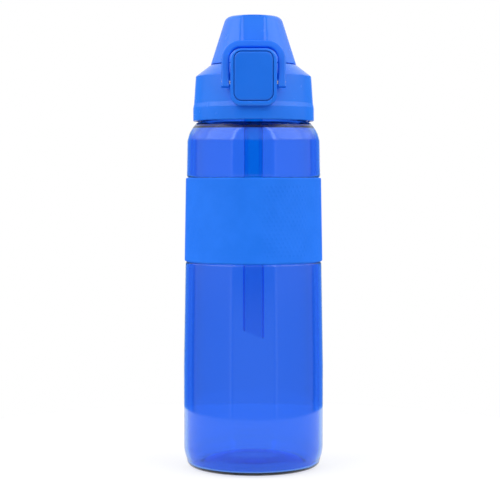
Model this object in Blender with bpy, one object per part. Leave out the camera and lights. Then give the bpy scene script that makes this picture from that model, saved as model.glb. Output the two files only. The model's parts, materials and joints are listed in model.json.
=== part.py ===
"""Sports bottle with a screw-on flip lid, a push button and a lock bail.

Metres, +Z up, the front faces -Y. The origin is the centre of the base, on the surface that
the bottle stands on. Every sub-part is one object, and a moving one has its origin on its axis.
"""
import math

import bmesh
import bpy
from mathutils import Matrix, Vector

# ---- driving sizes -----------------------------------------------------------------------
ROUND = 48  # sides of a large turned piece
SMALL_ROUND = 24  # sides of a small turned piece
FIT = 0.0003  # gap between pieces that touch or are pushed together
RUN = 0.00008  # radial clearance of a pin in its hole
OVERSHOOT = 0.002  # how far a cutter reaches past what it cuts

# bottle
BODY_R = 0.0381  # widest radius, above the base curve
BODY_TAPER = 0.0021  # how much narrower the body is where the shoulder starts
BODY_H = 0.177  # height where the shoulder starts
STRAIGHT_H = 0.055  # the body is a plain cylinder up to here, and tapers above
BASE_CURVE_H = 0.012  # height of the inward curve above the base
BASE_CORNER = 0.0035  # corner radius at the standing ring
BASE_TUCK = 0.0016  # how far the base curve pulls in
RING_W = 0.0045  # width of the flat standing ring
PUNT_H = 0.004  # rise of the hollow under the base
PUNT_POWER = 4  # a higher power makes the hollow's roof flatter
WALL = 0.0022
FLOOR = 0.0025  # thickness of the base over the punt
INNER_CORNER = 0.00525  # corner radius inside, above the floor
SHOULDER_H = 0.0094
SHOULDER_SETBACK = 0.0016  # how far the top of the shoulder stays inside the lid's edge
SHOULDER_BULGE = 0.0008
NECK_R = 0.0272
NECK_WALL = 0.0024
NECK_H = 0.0160  # from the lid's lower edge to the rim
NECK_COVE = 0.0018  # height over which the shoulder runs into the neck
LID_GAP = 0.0011  # visible gap between shoulder and lid

# grip sleeve
SLEEVE_H = 0.0453
SLEEVE_DROP = 0.0200  # from the shoulder down to the sleeve's upper edge
SLEEVE_T = 0.0010
SLEEVE_EDGE = 0.0006  # chamfer of its lower edge
SLEEVE_GAP = 0.0002
SEAT_DEPTH = 0.0006  # depth of the sleeve's seat in the body

# thread between neck and liner
PITCH = 0.005
NECK_TURNS = 1.25
LINER_TURNS = 1.0
RIDGE_H = 0.0013
RIDGE_ROOT = 0.0024
RIDGE_CREST = 0.0010
THREAD_START = 0.0045  # from the lid's lower edge to the middle of the neck thread's low end
THREAD_CLEARANCE = 0.0004  # from a ridge's crest to the other wall

# lid liner
LINER_WALL = 0.0017
LINER_SETBACK = 0.0005  # how far the liner's skirt stops above the shell's
PLATE_T = 0.0018
SEAL_T = 0.0012
STUB_BORE_R = 0.0053
STUB_WALL = 0.0037
STUB_H = 0.0043  # how far the stub stands above the deck
VENT_R = 0.0032
VENT_BORE_R = 0.0015
VENT_GAP = 0.0008  # from the mouthpiece's flange to the vent valve
VALVE_CROWN = 0.0011  # height of the vent valve's umbrella
VALVE_EDGE = 0.0007  # and at its shoulder
VALVE_EDGE_IN = 0.0006  # how far that shoulder is from the rim

# lid shell
SHELL_WALL = 0.0014
SHELL_STEP = 0.0005  # small step in the skirt
SHELL_STEP_H = 0.0089
SHELL_DRAFT = 0.0015  # how much narrower the skirt is at its top
SKIRT_OVER_RIM = 0.0082  # height of the skirt's top above the bottle's rim
CHAMFER_H = 0.0060
CHAMFER_W = 0.0079  # width of the chamfer seen from above
DECK_T = 0.0018

# mouthpiece
MOUTH_FLANGE_W = 0.0030
MOUTH_FLANGE_T = 0.0012
MOUTH_FLANGE_FILLET = 0.0008
MOUTH_SKIN = 0.0015  # thickness over the stub
MOUTH_SLOPE_W = 0.0018
MOUTH_SLOPE_H = 0.0028
MOUTH_TIP_R = 0.0068
MOUTH_LIP = 0.0012  # rounding of the tip
MOUTH_BORE_R = 0.0032
MOUTH_H = 0.0178  # above the deck

# flip cap
CAP_EDGE = 0.0002  # the cap's edge stays this far inside the deck's
CAP_OVER = 0.0085  # height of the cap's top above the mouthpiece
CAP_TAPER = 0.0083  # how much narrower the cone is where it would meet the top
CAP_FILLET = 0.0038
CAP_WALL = 0.0020
CAP_ROOF_T = 0.0022
CAP_SEAT = 0.0004  # gap between cap and deck
CHANNEL_W = 0.0110
CHANNEL_LOW_DEPTH = 0.0028  # depth of the channel at the cap's edge
CHANNEL_HIGH_DEPTH = 0.0010  # and where the cone would meet the top
CHANNEL_WALL = 0.0018
TONGUE_W = 0.0070
TONGUE_T = 0.0016
TONGUE_ROOT = 0.0012  # how far the tongue reaches up into the cap
PLUG_R = 0.0085
PLUG_STEM_R = 0.0052
PLUG_T = 0.0020
PLUG_RING_T = 0.0015

# cap hinge
HINGE_OUT = 0.0050  # from the cap's edge out to the pin's axis
HINGE_UP = 0.0005  # above the deck
KNUCKLE_R = 0.0028
PIN_R = 0.0010
SPRING_HALF = 0.0035  # half the room left for the torsion spring
SPRING_LOOSE = 0.0005  # gap between the pin and the spring round it
KNUCKLE_W = 0.0032
EAR_W = 0.0030
HINGE_WIRE_R = 0.00035
HINGE_COIL_TURNS = 5.25

# button and its housing
BUTTON_W = 0.0201
BUTTON_H = 0.0253
BUTTON_T = 0.0022
BUTTON_CORNER = 0.0038
BUTTON_PROUD = 0.0003
BUTTON_TRAVEL = 0.0013
BUTTON_RAISE = 0.0006  # from the housing's middle up to the button's
BUTTON_EDGE = 0.0005  # bevel round the button's face
HOUSING_SIDE = 0.0021  # rim of the housing beside the button
HOUSING_END = 0.0022  # and above and below it
HOUSING_UP = 0.0063  # height of the housing's top above the deck
HOUSING_PROUD = 0.0027  # how far the housing stands out of the skirt
HOUSING_DEPTH = 0.0081
HOUSING_EDGE = 0.0008  # bevel round the housing's front
POCKET_SLACK = 0.0003
SPRING_ROOM_H = 0.0101  # height of the deep part of the pocket
SPRING_R = 0.0022
SPRING_WIRE_R = 0.0003
SPRING_TURNS = 3

# latch slide
SLIDE_W = 0.0100
SLIDE_T = 0.0020
SLIDE_UP = 0.0013  # above the liner's plate
SLIDE_REACH = 0.0017  # past the window
SOCKET_DEPTH = 0.0009  # how far the slide sits in the button's back
WINDOW_W = 0.0080
WINDOW_LEAD = 0.0028  # window in front of the tongue
TONGUE_NIB = 0.0004

# lock bail
BAIL_BAR = 0.0042  # width of a leg seen from the front
BAIL_TOP_BAR = 0.0039  # and of the bar across the top
BAIL_T = 0.0036
BAIL_PLAY = 0.0005  # gap to the housing's sides
BAIL_PIVOT_DROP = 0.0175  # from the housing's top down to the pivot
BAIL_PIVOT_IN = 0.0029  # from the housing's front back to the pivot
BAIL_OVER = 0.0007  # gap above the housing
BAIL_FOOT = 0.0025  # below the pivot
BAIL_CORNER = 0.0100
BAIL_EDGE = 0.0004
BAIL_LEAN_DEG = 14.0
BAIL_LIP_W = 0.0100
BAIL_LIP_REACH = 0.0038
BAIL_LIP_T = 0.0018
BAIL_PIN_R = 0.0012

# straw
ADAPTOR_WALL = 0.0016
ADAPTOR_FLANGE_W = 0.0035
ADAPTOR_FLANGE_T = 0.0016
SPIGOT_STEP = 0.0006  # how much thinner the spigot is than the adaptor
SPIGOT_H = 0.014
STRAW_WALL = 0.0010
STRAW_DROP = 0.0475  # from the lid's lower edge down to the straw's upper end
STRAW_LENGTH = 0.0685
STRAW_SLANT = -0.40  # slope of the cut end

# ---- radii and distances worked out from the sizes, from the neck outwards -------------------
LINER_BORE_R = NECK_R + RIDGE_H + THREAD_CLEARANCE
LINER_R = LINER_BORE_R + LINER_WALL
SHELL_BORE_R = LINER_R + FIT
SHELL_R = SHELL_BORE_R + SHELL_WALL + SHELL_STEP
SHELL_TOP_R = SHELL_R - SHELL_DRAFT
DECK_R = SHELL_TOP_R - CHAMFER_W
SHOULDER_R = SHELL_R - SHOULDER_SETBACK
BODY_TOP_R = BODY_R - BODY_TAPER
CAP_R = DECK_R - CAP_EDGE
CAP_TOP_R = CAP_R - CAP_TAPER
CAP_H = MOUTH_H - CAP_SEAT + CAP_OVER
CHANNEL_LOW_Y = CAP_R - CHANNEL_LOW_DEPTH
CHANNEL_HIGH_Y = CAP_TOP_R - CHANNEL_HIGH_DEPTH
HINGE_Y = CAP_R + HINGE_OUT
STUB_R = STUB_BORE_R + STUB_WALL
MOUTH_BASE_R = STUB_R + MOUTH_FLANGE_W
MOUTH_BODY_R = STUB_R + FIT + MOUTH_SKIN
VENT_Y = MOUTH_BASE_R + VENT_GAP + VENT_R
HOUSING_W = BUTTON_W + 2 * HOUSING_SIDE
HOUSING_H = BUTTON_H + 2 * HOUSING_END
HOUSING_CORNER = BUTTON_CORNER + HOUSING_SIDE
HOUSING_FRONT = SHELL_R + HOUSING_PROUD
HOUSING_BACK = HOUSING_FRONT - HOUSING_DEPTH
BUTTON_FRONT = HOUSING_FRONT + BUTTON_PROUD
BUTTON_BACK = BUTTON_FRONT - BUTTON_T
POCKET_BACK = BUTTON_BACK - BUTTON_TRAVEL - FIT
POCKET_DEEP = HOUSING_BACK + SHELL_WALL
TONGUE_FRONT = CHANNEL_LOW_Y - FIT
TONGUE_BACK = TONGUE_FRONT - TONGUE_T
WINDOW_FRONT = TONGUE_FRONT + WINDOW_LEAD
WINDOW_BACK = TONGUE_BACK - TONGUE_NIB - FIT
SLIDE_FRONT = BUTTON_BACK + SOCKET_DEPTH
BAIL_IN = HOUSING_W / 2 + BAIL_PLAY  # half the bail's inner width
BAIL_PIVOT_Y = HOUSING_FRONT - BAIL_PIVOT_IN
ADAPTOR_R = STUB_BORE_R - FIT
ADAPTOR_BORE_R = ADAPTOR_R - ADAPTOR_WALL
ADAPTOR_FLANGE_R = ADAPTOR_R + ADAPTOR_FLANGE_W
SPIGOT_R = ADAPTOR_R - SPIGOT_STEP
STRAW_R = SPIGOT_R + FIT + STRAW_WALL

# ---- heights worked out from the sizes, from the base up --------------------------------------
SLEEVE_TOP = BODY_H - SLEEVE_DROP
SLEEVE_Z = SLEEVE_TOP - SLEEVE_H
SHOULDER_Z = BODY_H + SHOULDER_H
LID_Z = SHOULDER_Z + LID_GAP  # lower edge of the lid
THREAD_Z = LID_Z + THREAD_START
RIM_Z = LID_Z + NECK_H
SEAL_Z = RIM_Z + FIT
PLATE_Z = SEAL_Z + SEAL_T + FIT  # underside of the liner's plate
PLATE_TOP = PLATE_Z + PLATE_T
SLIDE_Z = PLATE_TOP + SLIDE_UP
CHAMFER_Z = RIM_Z + SKIRT_OVER_RIM
DECK_Z = CHAMFER_Z + CHAMFER_H
DECK_UNDER = DECK_Z - DECK_T
STUB_TOP = DECK_Z + STUB_H
MOUTH_TOP = DECK_Z + MOUTH_H
PLUG_Z = MOUTH_TOP + FIT
CAP_Z = DECK_Z + CAP_SEAT
CAP_TOP = CAP_Z + CAP_H
CAP_ROOF = CAP_TOP - CAP_ROOF_T
HINGE_Z = DECK_Z + HINGE_UP
HOUSING_TOP = DECK_Z + HOUSING_UP
HOUSING_Z = HOUSING_TOP - HOUSING_H
BUTTON_MID = (HOUSING_Z + HOUSING_TOP) / 2 + BUTTON_RAISE
BUTTON_LOW = BUTTON_MID - BUTTON_H / 2
BUTTON_TOP = BUTTON_MID + BUTTON_H / 2
PIVOT_Z = HOUSING_TOP - BAIL_PIVOT_DROP
STRAW_TOP = LID_Z - STRAW_DROP
STRAW_END = STRAW_TOP - STRAW_LENGTH

# flanks of the two thread ridges keep FIT when the liner's ridge is this far below the neck's
RIDGE_SLOPE = (RIDGE_ROOT - RIDGE_CREST) / 2 / RIDGE_H
RIDGE_DROP = (RIDGE_ROOT + RIDGE_CREST) / 2 - RIDGE_SLOPE * THREAD_CLEARANCE + FIT


def body_radius(height):
    """Outer radius of the body's side, without the sleeve's seat."""
    if height <= STRAIGHT_H:
        return BODY_R
    share = (height - STRAIGHT_H) / (BODY_H - STRAIGHT_H)
    return BODY_R + (BODY_TOP_R - BODY_R) * share


# ---- tools ---------------------------------------------------------------------------------
def clear_scene():
    for thing in list(bpy.data.objects):
        bpy.data.objects.remove(thing, do_unlink=True)


def finish(name, colour, roughness, metallic=0.0, transmission=0.0):
    """A plain Principled material."""
    material = bpy.data.materials.new(name)
    material.use_nodes = True
    shader = material.node_tree.nodes["Principled BSDF"]
    shader.inputs["Base Color"].default_value = (*colour, 1.0)
    shader.inputs["Roughness"].default_value = roughness
    shader.inputs["Metallic"].default_value = metallic
    shader.inputs["Transmission Weight"].default_value = transmission
    return material


def add_object(name, shape, material, origin=(0, 0, 0)):
    """Make an object from a bmesh drawn in world coordinates, with its origin where asked."""
    bmesh.ops.recalc_face_normals(shape, faces=shape.faces)
    mesh = bpy.data.meshes.new(name)
    shape.transform(Matrix.Translation(-Vector(origin)))
    shape.to_mesh(mesh)
    shape.free()
    mesh.shade_smooth()
    mesh.set_sharp_from_angle(angle=math.radians(30))
    if material:
        mesh.materials.append(material)
    piece = bpy.data.objects.new(name, mesh)
    piece.location = origin
    bpy.context.scene.collection.objects.link(piece)
    return piece


def turned(name, outline, material=None, sides=ROUND, origin=(0, 0, 0), centre=(0, 0)):
    """Turn a closed (radius, height) outline about a vertical line through centre."""
    shape = bmesh.new()
    turns = [math.tau * k / sides for k in range(sides)]
    rings = []
    for radius, height in outline:
        if radius == 0:
            rings.append([shape.verts.new((*centre, height))])
            continue
        rings.append([
            shape.verts.new((centre[0] + radius * math.cos(a), centre[1] + radius * math.sin(a), height))
            for a in turns
        ])
    for near, far in zip(rings, rings[1:] + rings[:1]):
        if len(near) == len(far) == 1:
            continue
        for k in range(sides):
            after = (k + 1) % sides
            corners = [near[k % len(near)], near[after % len(near)], far[after % len(far)], far[k % len(far)]]
            shape.faces.new(list(dict.fromkeys(corners)))
    return add_object(name, shape, material, origin)


def prism(name, outline, axis, low, high, material=None, origin=(0, 0, 0)):
    """Extrude an outline along axis X, Y or Z. Its points are the other two coordinates, in order."""
    shape = bmesh.new()

    def end(at):
        points = []
        for u, v in outline:
            place = {"X": (at, u, v), "Y": (u, at, v), "Z": (u, v, at)}[axis]
            points.append(shape.verts.new(place))
        return points

    first, last = end(low), end(high)
    count = len(outline)
    shape.faces.new(first)
    shape.faces.new(last)
    for k in range(count):
        after = (k + 1) % count
        shape.faces.new((first[k], first[after], last[after], last[k]))
    return add_object(name, shape, material, origin)


def box(name, low, high, material=None, origin=(0, 0, 0)):
    corners = [(low[0], low[1]), (high[0], low[1]), (high[0], high[1]), (low[0], high[1])]
    return prism(name, corners, "Z", low[2], high[2], material, origin)


def arc(centre, radius, start_deg, end_deg, steps):
    """Points round a circle, both ends included."""
    points = []
    for k in range(steps + 1):
        angle = math.radians(start_deg + (end_deg - start_deg) * k / steps)
        points.append((centre[0] + radius * math.cos(angle), centre[1] + radius * math.sin(angle)))
    return points


def circle(centre, radius, sides=SMALL_ROUND):
    return arc(centre, radius, 0, 360, sides)[:-1]


def rounded_rectangle(width, low, high, corner, steps=5):
    """Outline centred on the first coordinate, from low to high on the second."""
    half = width / 2 - corner
    points = arc((half, high - corner), corner, 0, 90, steps)
    points += arc((-half, high - corner), corner, 90, 180, steps)
    points += arc((-half, low + corner), corner, 180, 270, steps)
    points += arc((half, low + corner), corner, 270, 360, steps)
    return points


def combine(piece, tools, operation):
    """Combine a piece with tools that are only guides and never part of the object."""
    modifier = piece.modifiers.new(operation.lower(), "BOOLEAN")
    modifier.operation = operation
    modifier.solver = "EXACT"
    modifier.operand_type = "COLLECTION"
    modifier.collection = bpy.data.collections.new(f"{piece.name}_{operation.lower()}_tools")
    bpy.context.scene.collection.children.link(modifier.collection)
    modifier.collection.hide_render = True
    for tool in tools:
        bpy.context.scene.collection.objects.unlink(tool)
        modifier.collection.objects.link(tool)
        tool.hide_render = True
        tool.display_type = "WIRE"


def bevel(piece, width, angle_deg=50, segments=2):
    modifier = piece.modifiers.new("edge", "BEVEL")
    modifier.width = width
    modifier.segments = segments
    modifier.limit_method = "ANGLE"
    modifier.angle_limit = math.radians(angle_deg)


def helix_ridge(name, root_r, side, sink, turns, start_z):
    """One thread ridge whose ends dive into the wall. side is 1 on a neck and -1 in a bore."""
    shape = bmesh.new()
    steps = round(turns * ROUND)
    fade = ROUND // 12
    sections = []
    for k in range(steps + 1):
        angle = math.tau * k / ROUND
        height = start_z + PITCH * k / ROUND
        share = min(1.0, k / fade, (steps - k) / fade)
        foot_r, crest_r = root_r - side * sink, root_r + side * (RIDGE_H * share - sink / 3 * (1 - share))
        foot = RIDGE_ROOT / 2 + RIDGE_SLOPE * sink
        crest = RIDGE_CREST / 2
        profile = ((foot_r, -foot), (crest_r, -crest), (crest_r, crest), (foot_r, foot))
        sections.append([
            shape.verts.new((r * math.cos(angle), r * math.sin(angle), height + dz)) for r, dz in profile
        ])
    for near, far in zip(sections, sections[1:]):
        for k in range(len(near)):
            after = (k + 1) % len(near)
            shape.faces.new((near[k], near[after], far[after], far[k]))
    shape.faces.new(sections[0])
    shape.faces.new(sections[-1])
    return add_object(name, shape, None)


def wire(name, points, radius, material):
    """A round wire along points, as a curve with filled ends."""
    curve = bpy.data.curves.new(name, "CURVE")
    curve.dimensions = "3D"
    curve.bevel_depth = radius
    curve.bevel_resolution = 2
    curve.use_fill_caps = True
    spline = curve.splines.new("POLY")
    spline.points.add(len(points) - 1)
    for place, point in zip(spline.points, points):
        place.co = (*point, 1.0)
    curve.materials.append(material)
    piece = bpy.data.objects.new(name, curve)
    bpy.context.scene.collection.objects.link(piece)
    return piece


# ---- bottle ----------------------------------------------------------------------------------
def shoulder_curve(set_in=0.0, steps=5):
    """Shallow convex curve from the body to the neck, or the same curve set in square to its slope."""
    run, rise = BODY_TOP_R - SHOULDER_R, SHOULDER_H
    slant = math.hypot(run, rise)
    points = []
    for k in range(1, steps + 1):
        share = k / steps
        swell = SHOULDER_BULGE * 4 * share * (1 - share)
        outward = (swell - set_in) / slant
        points.append((BODY_TOP_R - run * share + outward * rise, BODY_H + rise * share + outward * run))
    return points


def base_curve(ring_in, ring_out, steps=3):
    """From the centre of the hollow under the base, round the standing ring and up to the side."""
    points = [(0, PUNT_H)]
    for k in range(1, 2 * steps + 1):
        share = k / (2 * steps)
        points.append((ring_in * share, PUNT_H * (1 - share ** PUNT_POWER)))
    points += arc((ring_out, BASE_CORNER), BASE_CORNER, -90, 0, steps)
    for k in range(1, steps + 1):
        share = k / steps
        height = BASE_CORNER + (BASE_CURVE_H - BASE_CORNER) * share
        points.append((BODY_R - BASE_TUCK * (1 - share) ** 2, height))
    return points


def make_bottle(material):
    ring_out = BODY_R - BASE_TUCK - BASE_CORNER
    seat_low, seat_top = SLEEVE_Z - FIT, SLEEVE_TOP + FIT
    outside = base_curve(ring_out - RING_W, ring_out)
    outside += [
        (BODY_R, STRAIGHT_H),
        (body_radius(seat_low), seat_low),
        (body_radius(seat_low) - SEAT_DEPTH, seat_low),
        (body_radius(seat_top) - SEAT_DEPTH, seat_top),
        (body_radius(seat_top), seat_top),
        (BODY_TOP_R, BODY_H),
    ]
    outside += shoulder_curve() + [(NECK_R, SHOULDER_Z + NECK_COVE), (NECK_R, RIM_Z)]

    inner_neck = NECK_R - NECK_WALL
    floor_z = PUNT_H + FLOOR
    inside = [(inner_neck, RIM_Z), (inner_neck, SHOULDER_Z)]
    inside += reversed(shoulder_curve(WALL)[:-1])
    inside += [
        (BODY_TOP_R - WALL, BODY_H),
        (body_radius(SLEEVE_Z) - WALL, SLEEVE_Z),
        (BODY_R - WALL, STRAIGHT_H),
    ]
    inside += arc((BODY_R - WALL - INNER_CORNER, floor_z + INNER_CORNER), INNER_CORNER, 0, -90, 4)
    inside += [(0, floor_z)]
    bottle = turned("bottle_body", outside + inside, material)
    ridge = helix_ridge("neck_thread_tool", NECK_R, 1, NECK_WALL / 3, NECK_TURNS, THREAD_Z)
    combine(bottle, [ridge], "UNION")
    return bottle


def make_sleeve(material):
    low_r = body_radius(SLEEVE_Z) - SEAT_DEPTH + SLEEVE_GAP
    top_r = body_radius(SLEEVE_TOP) - SEAT_DEPTH + SLEEVE_GAP
    outline = [
        (low_r, SLEEVE_Z),
        (low_r + SLEEVE_T - SLEEVE_EDGE, SLEEVE_Z),
        (low_r + SLEEVE_T, SLEEVE_Z + SLEEVE_EDGE),
        (top_r + SLEEVE_T, SLEEVE_TOP - SLEEVE_EDGE / 2),
        (top_r + SLEEVE_T - SLEEVE_EDGE / 2, SLEEVE_TOP),
        (top_r, SLEEVE_TOP),
    ]
    return turned("grip_sleeve", outline, material)


# ---- lid -------------------------------------------------------------------------------------
def inner_chamfer(depth):
    """The two corners of the shell's chamfer, set in by depth."""
    run = SHELL_TOP_R - DECK_R
    slant = math.hypot(run, CHAMFER_H)
    low = CHAMFER_Z - depth * (slant - run) / CHAMFER_H
    reach = DECK_R - depth * (slant - CHAMFER_H) / run
    return low, reach


def make_lid_space():
    """The room inside the lid shell, up to the underside of its deck, with the hole in the deck."""
    low, reach = inner_chamfer(SHELL_WALL)
    hole = STUB_R + FIT
    below = LID_Z - FIT
    above = DECK_Z + FIT
    outline = [
        (0, below), (SHELL_BORE_R, below), (SHELL_BORE_R, low - SHELL_WALL / 2),
        (reach - SHELL_WALL, DECK_UNDER), (hole, DECK_UNDER), (hole, above), (0, above),
    ]
    return turned("lid_space_tool", outline)


def make_housing_and_ears():
    """The button housing in front and the two hinge ears behind, before they are hollowed."""
    outline = rounded_rectangle(HOUSING_W, HOUSING_Z, HOUSING_TOP, HOUSING_CORNER)
    added = [prism("housing_tool", outline, "Y", -HOUSING_FRONT, -HOUSING_BACK)]
    bevel(added[0], HOUSING_EDGE, segments=1)
    for side in (-1, 1):
        inner = SPRING_HALF + KNUCKLE_W + 2 * FIT
        ends = sorted((side * inner, side * (inner + EAR_W)))
        outline = arc((HINGE_Y, HINGE_Z), KNUCKLE_R, 0, 180, 10)
        outline += [
            (HINGE_Y - KNUCKLE_R, DECK_UNDER - DECK_T), (HINGE_Y + KNUCKLE_R / 2, CHAMFER_Z - SHELL_WALL),
        ]
        added.append(prism(f"ear_tool_{'left' if side < 0 else 'right'}", outline, "X", *ends))
    return added


def make_shell_cutters():
    pocket = rounded_rectangle(
        BUTTON_W + 2 * POCKET_SLACK, BUTTON_LOW - POCKET_SLACK, BUTTON_TOP + POCKET_SLACK,
        BUTTON_CORNER + POCKET_SLACK)
    deep = rounded_rectangle(
        BUTTON_W - 2 * BUTTON_CORNER, BUTTON_TOP - SPRING_ROOM_H, BUTTON_TOP - SHELL_WALL, BUTTON_CORNER / 3)
    pin_hole = circle((HINGE_Y, HINGE_Z), PIN_R + RUN)
    pin_reach = SPRING_HALF + KNUCKLE_W + EAR_W + OVERSHOOT
    bail_hole = circle((-BAIL_PIVOT_Y, PIVOT_Z), BAIL_PIN_R + RUN)
    bail_reach = HOUSING_W / 2 + OVERSHOOT
    vent = circle((0, VENT_Y), VENT_R + FIT)
    return [
        make_lid_space(),
        prism("pocket_tool", pocket, "Y", -BUTTON_FRONT - FIT, -POCKET_BACK),
        prism("spring_room_tool", deep, "Y", -POCKET_BACK - FIT, -POCKET_DEEP),
        box("slide_slot_tool",
            (-SLIDE_W / 2 - FIT, -POCKET_BACK - FIT, SLIDE_Z - FIT),
            (SLIDE_W / 2 + FIT, -WINDOW_FRONT - SHELL_WALL, SLIDE_Z + SLIDE_T + FIT)),
        box("tongue_way_tool",
            (-TONGUE_W / 2 - 2 * FIT, -TONGUE_FRONT - WINDOW_LEAD / 2, DECK_UNDER - DECK_T),
            (TONGUE_W / 2 + 2 * FIT, -WINDOW_BACK, DECK_Z + DECK_T)),
        prism("ear_bore_tool", pin_hole, "X", -pin_reach, pin_reach),
        prism("vent_way_tool", vent, "Z", DECK_UNDER - DECK_T, DECK_Z + DECK_T),
        prism("bail_bore_tool", bail_hole, "X", -bail_reach, bail_reach),
    ]


def make_shell(material):
    step_z = LID_Z + SHELL_STEP_H
    outline = [
        (0, LID_Z), (SHELL_R - SHELL_STEP, LID_Z), (SHELL_R, LID_Z + SHELL_STEP),
        (SHELL_R, step_z - SHELL_STEP / 2), (SHELL_R - SHELL_STEP, step_z + SHELL_STEP / 2),
        (SHELL_TOP_R, CHAMFER_Z), (DECK_R, DECK_Z), (0, DECK_Z),
    ]
    shell = turned("lid_shell", outline, material)
    combine(shell, make_housing_and_ears(), "UNION")
    combine(shell, make_shell_cutters(), "DIFFERENCE")
    return shell


def make_liner(material):
    top = PLATE_TOP
    outline = [
        (LINER_BORE_R, LID_Z + LINER_SETBACK), (LINER_R, LID_Z + LINER_SETBACK), (LINER_R, top),
        (STUB_R, top), (STUB_R, STUB_TOP), (STUB_BORE_R, STUB_TOP), (STUB_BORE_R, PLATE_Z),
        (LINER_BORE_R, PLATE_Z),
    ]
    liner = turned("lid_liner", outline, material)
    ridge = helix_ridge(
        "liner_thread_tool", LINER_BORE_R, -1, LINER_WALL / 2, LINER_TURNS, THREAD_Z - RIDGE_DROP)
    stub = turned(
        "vent_stub_tool",
        [(0, top - PLATE_T / 2), (VENT_R, top - PLATE_T / 2), (VENT_R, DECK_Z - FIT), (0, DECK_Z - FIT)],
        sides=SMALL_ROUND, centre=(0, VENT_Y))
    combine(liner, [ridge, stub], "UNION")
    bore = circle((0, VENT_Y), VENT_BORE_R)
    combine(liner, [prism("vent_bore_tool", bore, "Z", PLATE_Z - PLATE_T, DECK_Z + DECK_T)], "DIFFERENCE")
    return liner


def make_neck_seal(material):
    outline = [
        (NECK_R - NECK_WALL, SEAL_Z), (LINER_BORE_R - FIT, SEAL_Z),
        (LINER_BORE_R - FIT, SEAL_Z + SEAL_T), (NECK_R - NECK_WALL, SEAL_Z + SEAL_T),
    ]
    return turned("neck_seal", outline, material)


def make_mouthpiece(material):
    base = DECK_Z + FIT
    over = STUB_TOP + FIT
    outline = [
        (STUB_R + FIT, base), (MOUTH_BASE_R, base), (MOUTH_BASE_R, base + MOUTH_FLANGE_T),
        (MOUTH_BODY_R, base + MOUTH_FLANGE_T + MOUTH_FLANGE_FILLET), (MOUTH_BODY_R, over),
        (MOUTH_BODY_R - MOUTH_SLOPE_W, over + MOUTH_SLOPE_H), (MOUTH_TIP_R, (over + MOUTH_TOP) / 2),
        (MOUTH_TIP_R, MOUTH_TOP - MOUTH_LIP), (MOUTH_TIP_R - MOUTH_LIP, MOUTH_TOP),
        (MOUTH_BORE_R, MOUTH_TOP), (MOUTH_BORE_R, over + MOUTH_SKIN), (STUB_R + FIT, over),
    ]
    return turned("mouthpiece", outline, material, sides=32)


def make_vent_valve(material):
    stem = VENT_BORE_R - FIT
    outline = [
        (0, PLATE_TOP), (stem, PLATE_TOP), (stem, DECK_Z), (VENT_R, DECK_Z),
        (VENT_R - VALVE_EDGE_IN, DECK_Z + VALVE_EDGE), (0, DECK_Z + VALVE_CROWN),
    ]
    return turned("vent_valve", outline, material, sides=SMALL_ROUND, centre=(0, VENT_Y))


# ---- flip cap -----------------------------------------------------------------------------------
def cone_radius(height, set_in=0.0):
    share = (height - CAP_Z) / CAP_H
    return CAP_R + (CAP_TOP_R - CAP_R) * share - set_in


def channel_floor(height):
    """Distance of the channel's floor from the axis."""
    share = (height - CAP_Z) / CAP_H
    return CHANNEL_LOW_Y + (CHANNEL_HIGH_Y - CHANNEL_LOW_Y) * share


def channel_block(name, half_width, behind, low, high):
    """Everything in front of the channel's floor, or of a plane behind it."""
    far = CAP_R + OVERSHOOT
    outline = [
        (-far, low), (-(channel_floor(low) - behind), low), (-(channel_floor(high) - behind), high),
        (-far, high),
    ]
    return prism(name, outline, "X", -half_width, half_width)


def make_cap_arms():
    """The two knuckles of the hinge, each with the arm that joins it to the cap."""
    arms = []
    for side in (-1, 1):
        inner = SPRING_HALF + FIT
        ends = sorted((side * inner, side * (inner + KNUCKLE_W)))
        outline = arc((HINGE_Y, HINGE_Z), KNUCKLE_R, -90, 90, 8)
        wall_y = CAP_R - CAP_WALL - 2 * FIT
        outline += [(wall_y, HINGE_Z + KNUCKLE_R), (wall_y, CAP_Z + FIT)]
        outline += arc((HINGE_Y, HINGE_Z), KNUCKLE_R, 180, 235, 3)
        arms.append(prism(f"arm_tool_{'left' if side < 0 else 'right'}", outline, "X", *ends))
    return arms


def make_tongue():
    """The tongue under the cap's front edge, with the nib that the latch slide holds."""
    nib_z = PLATE_TOP + FIT
    root = CAP_Z + TONGUE_ROOT
    nib_y = -TONGUE_BACK + TONGUE_NIB
    outline = [
        (-TONGUE_FRONT, nib_z), (nib_y, nib_z), (nib_y, SLIDE_Z - FIT), (-TONGUE_BACK, SLIDE_Z),
        (-TONGUE_BACK, root), (-TONGUE_FRONT, root),
    ]
    return prism("tongue_tool", outline, "X", -TONGUE_W / 2, TONGUE_W / 2)


def make_cap_hollow():
    """The room inside the cap, round the seal's ring and kept back from the channel by a wall."""
    below = CAP_Z - OVERSHOOT
    high = CAP_ROOF - CAP_FILLET / 2
    hollow = turned("cap_hollow_tool", [
        (0, below), (cone_radius(below, CAP_WALL), below), (cone_radius(high, CAP_WALL), high),
        (cone_radius(CAP_ROOF, CAP_WALL + CAP_FILLET / 2), CAP_ROOF), (0, CAP_ROOF),
    ])
    backing = channel_block(
        "channel_backing_tool", CHANNEL_W / 2 + CAP_WALL, CHANNEL_WALL, below - FIT, CAP_TOP + OVERSHOOT)
    ring_low = PLUG_Z + PLUG_T + FIT
    ring_in = PLUG_STEM_R + FIT
    ring_high = CAP_ROOF + FIT
    ring = turned("plug_ring_tool", [
        (ring_in, ring_low), (ring_in + PLUG_RING_T, ring_low), (ring_in + PLUG_RING_T, ring_high),
        (ring_in, ring_high),
    ], sides=SMALL_ROUND)
    combine(hollow, [backing, ring], "DIFFERENCE")
    return hollow


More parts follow.
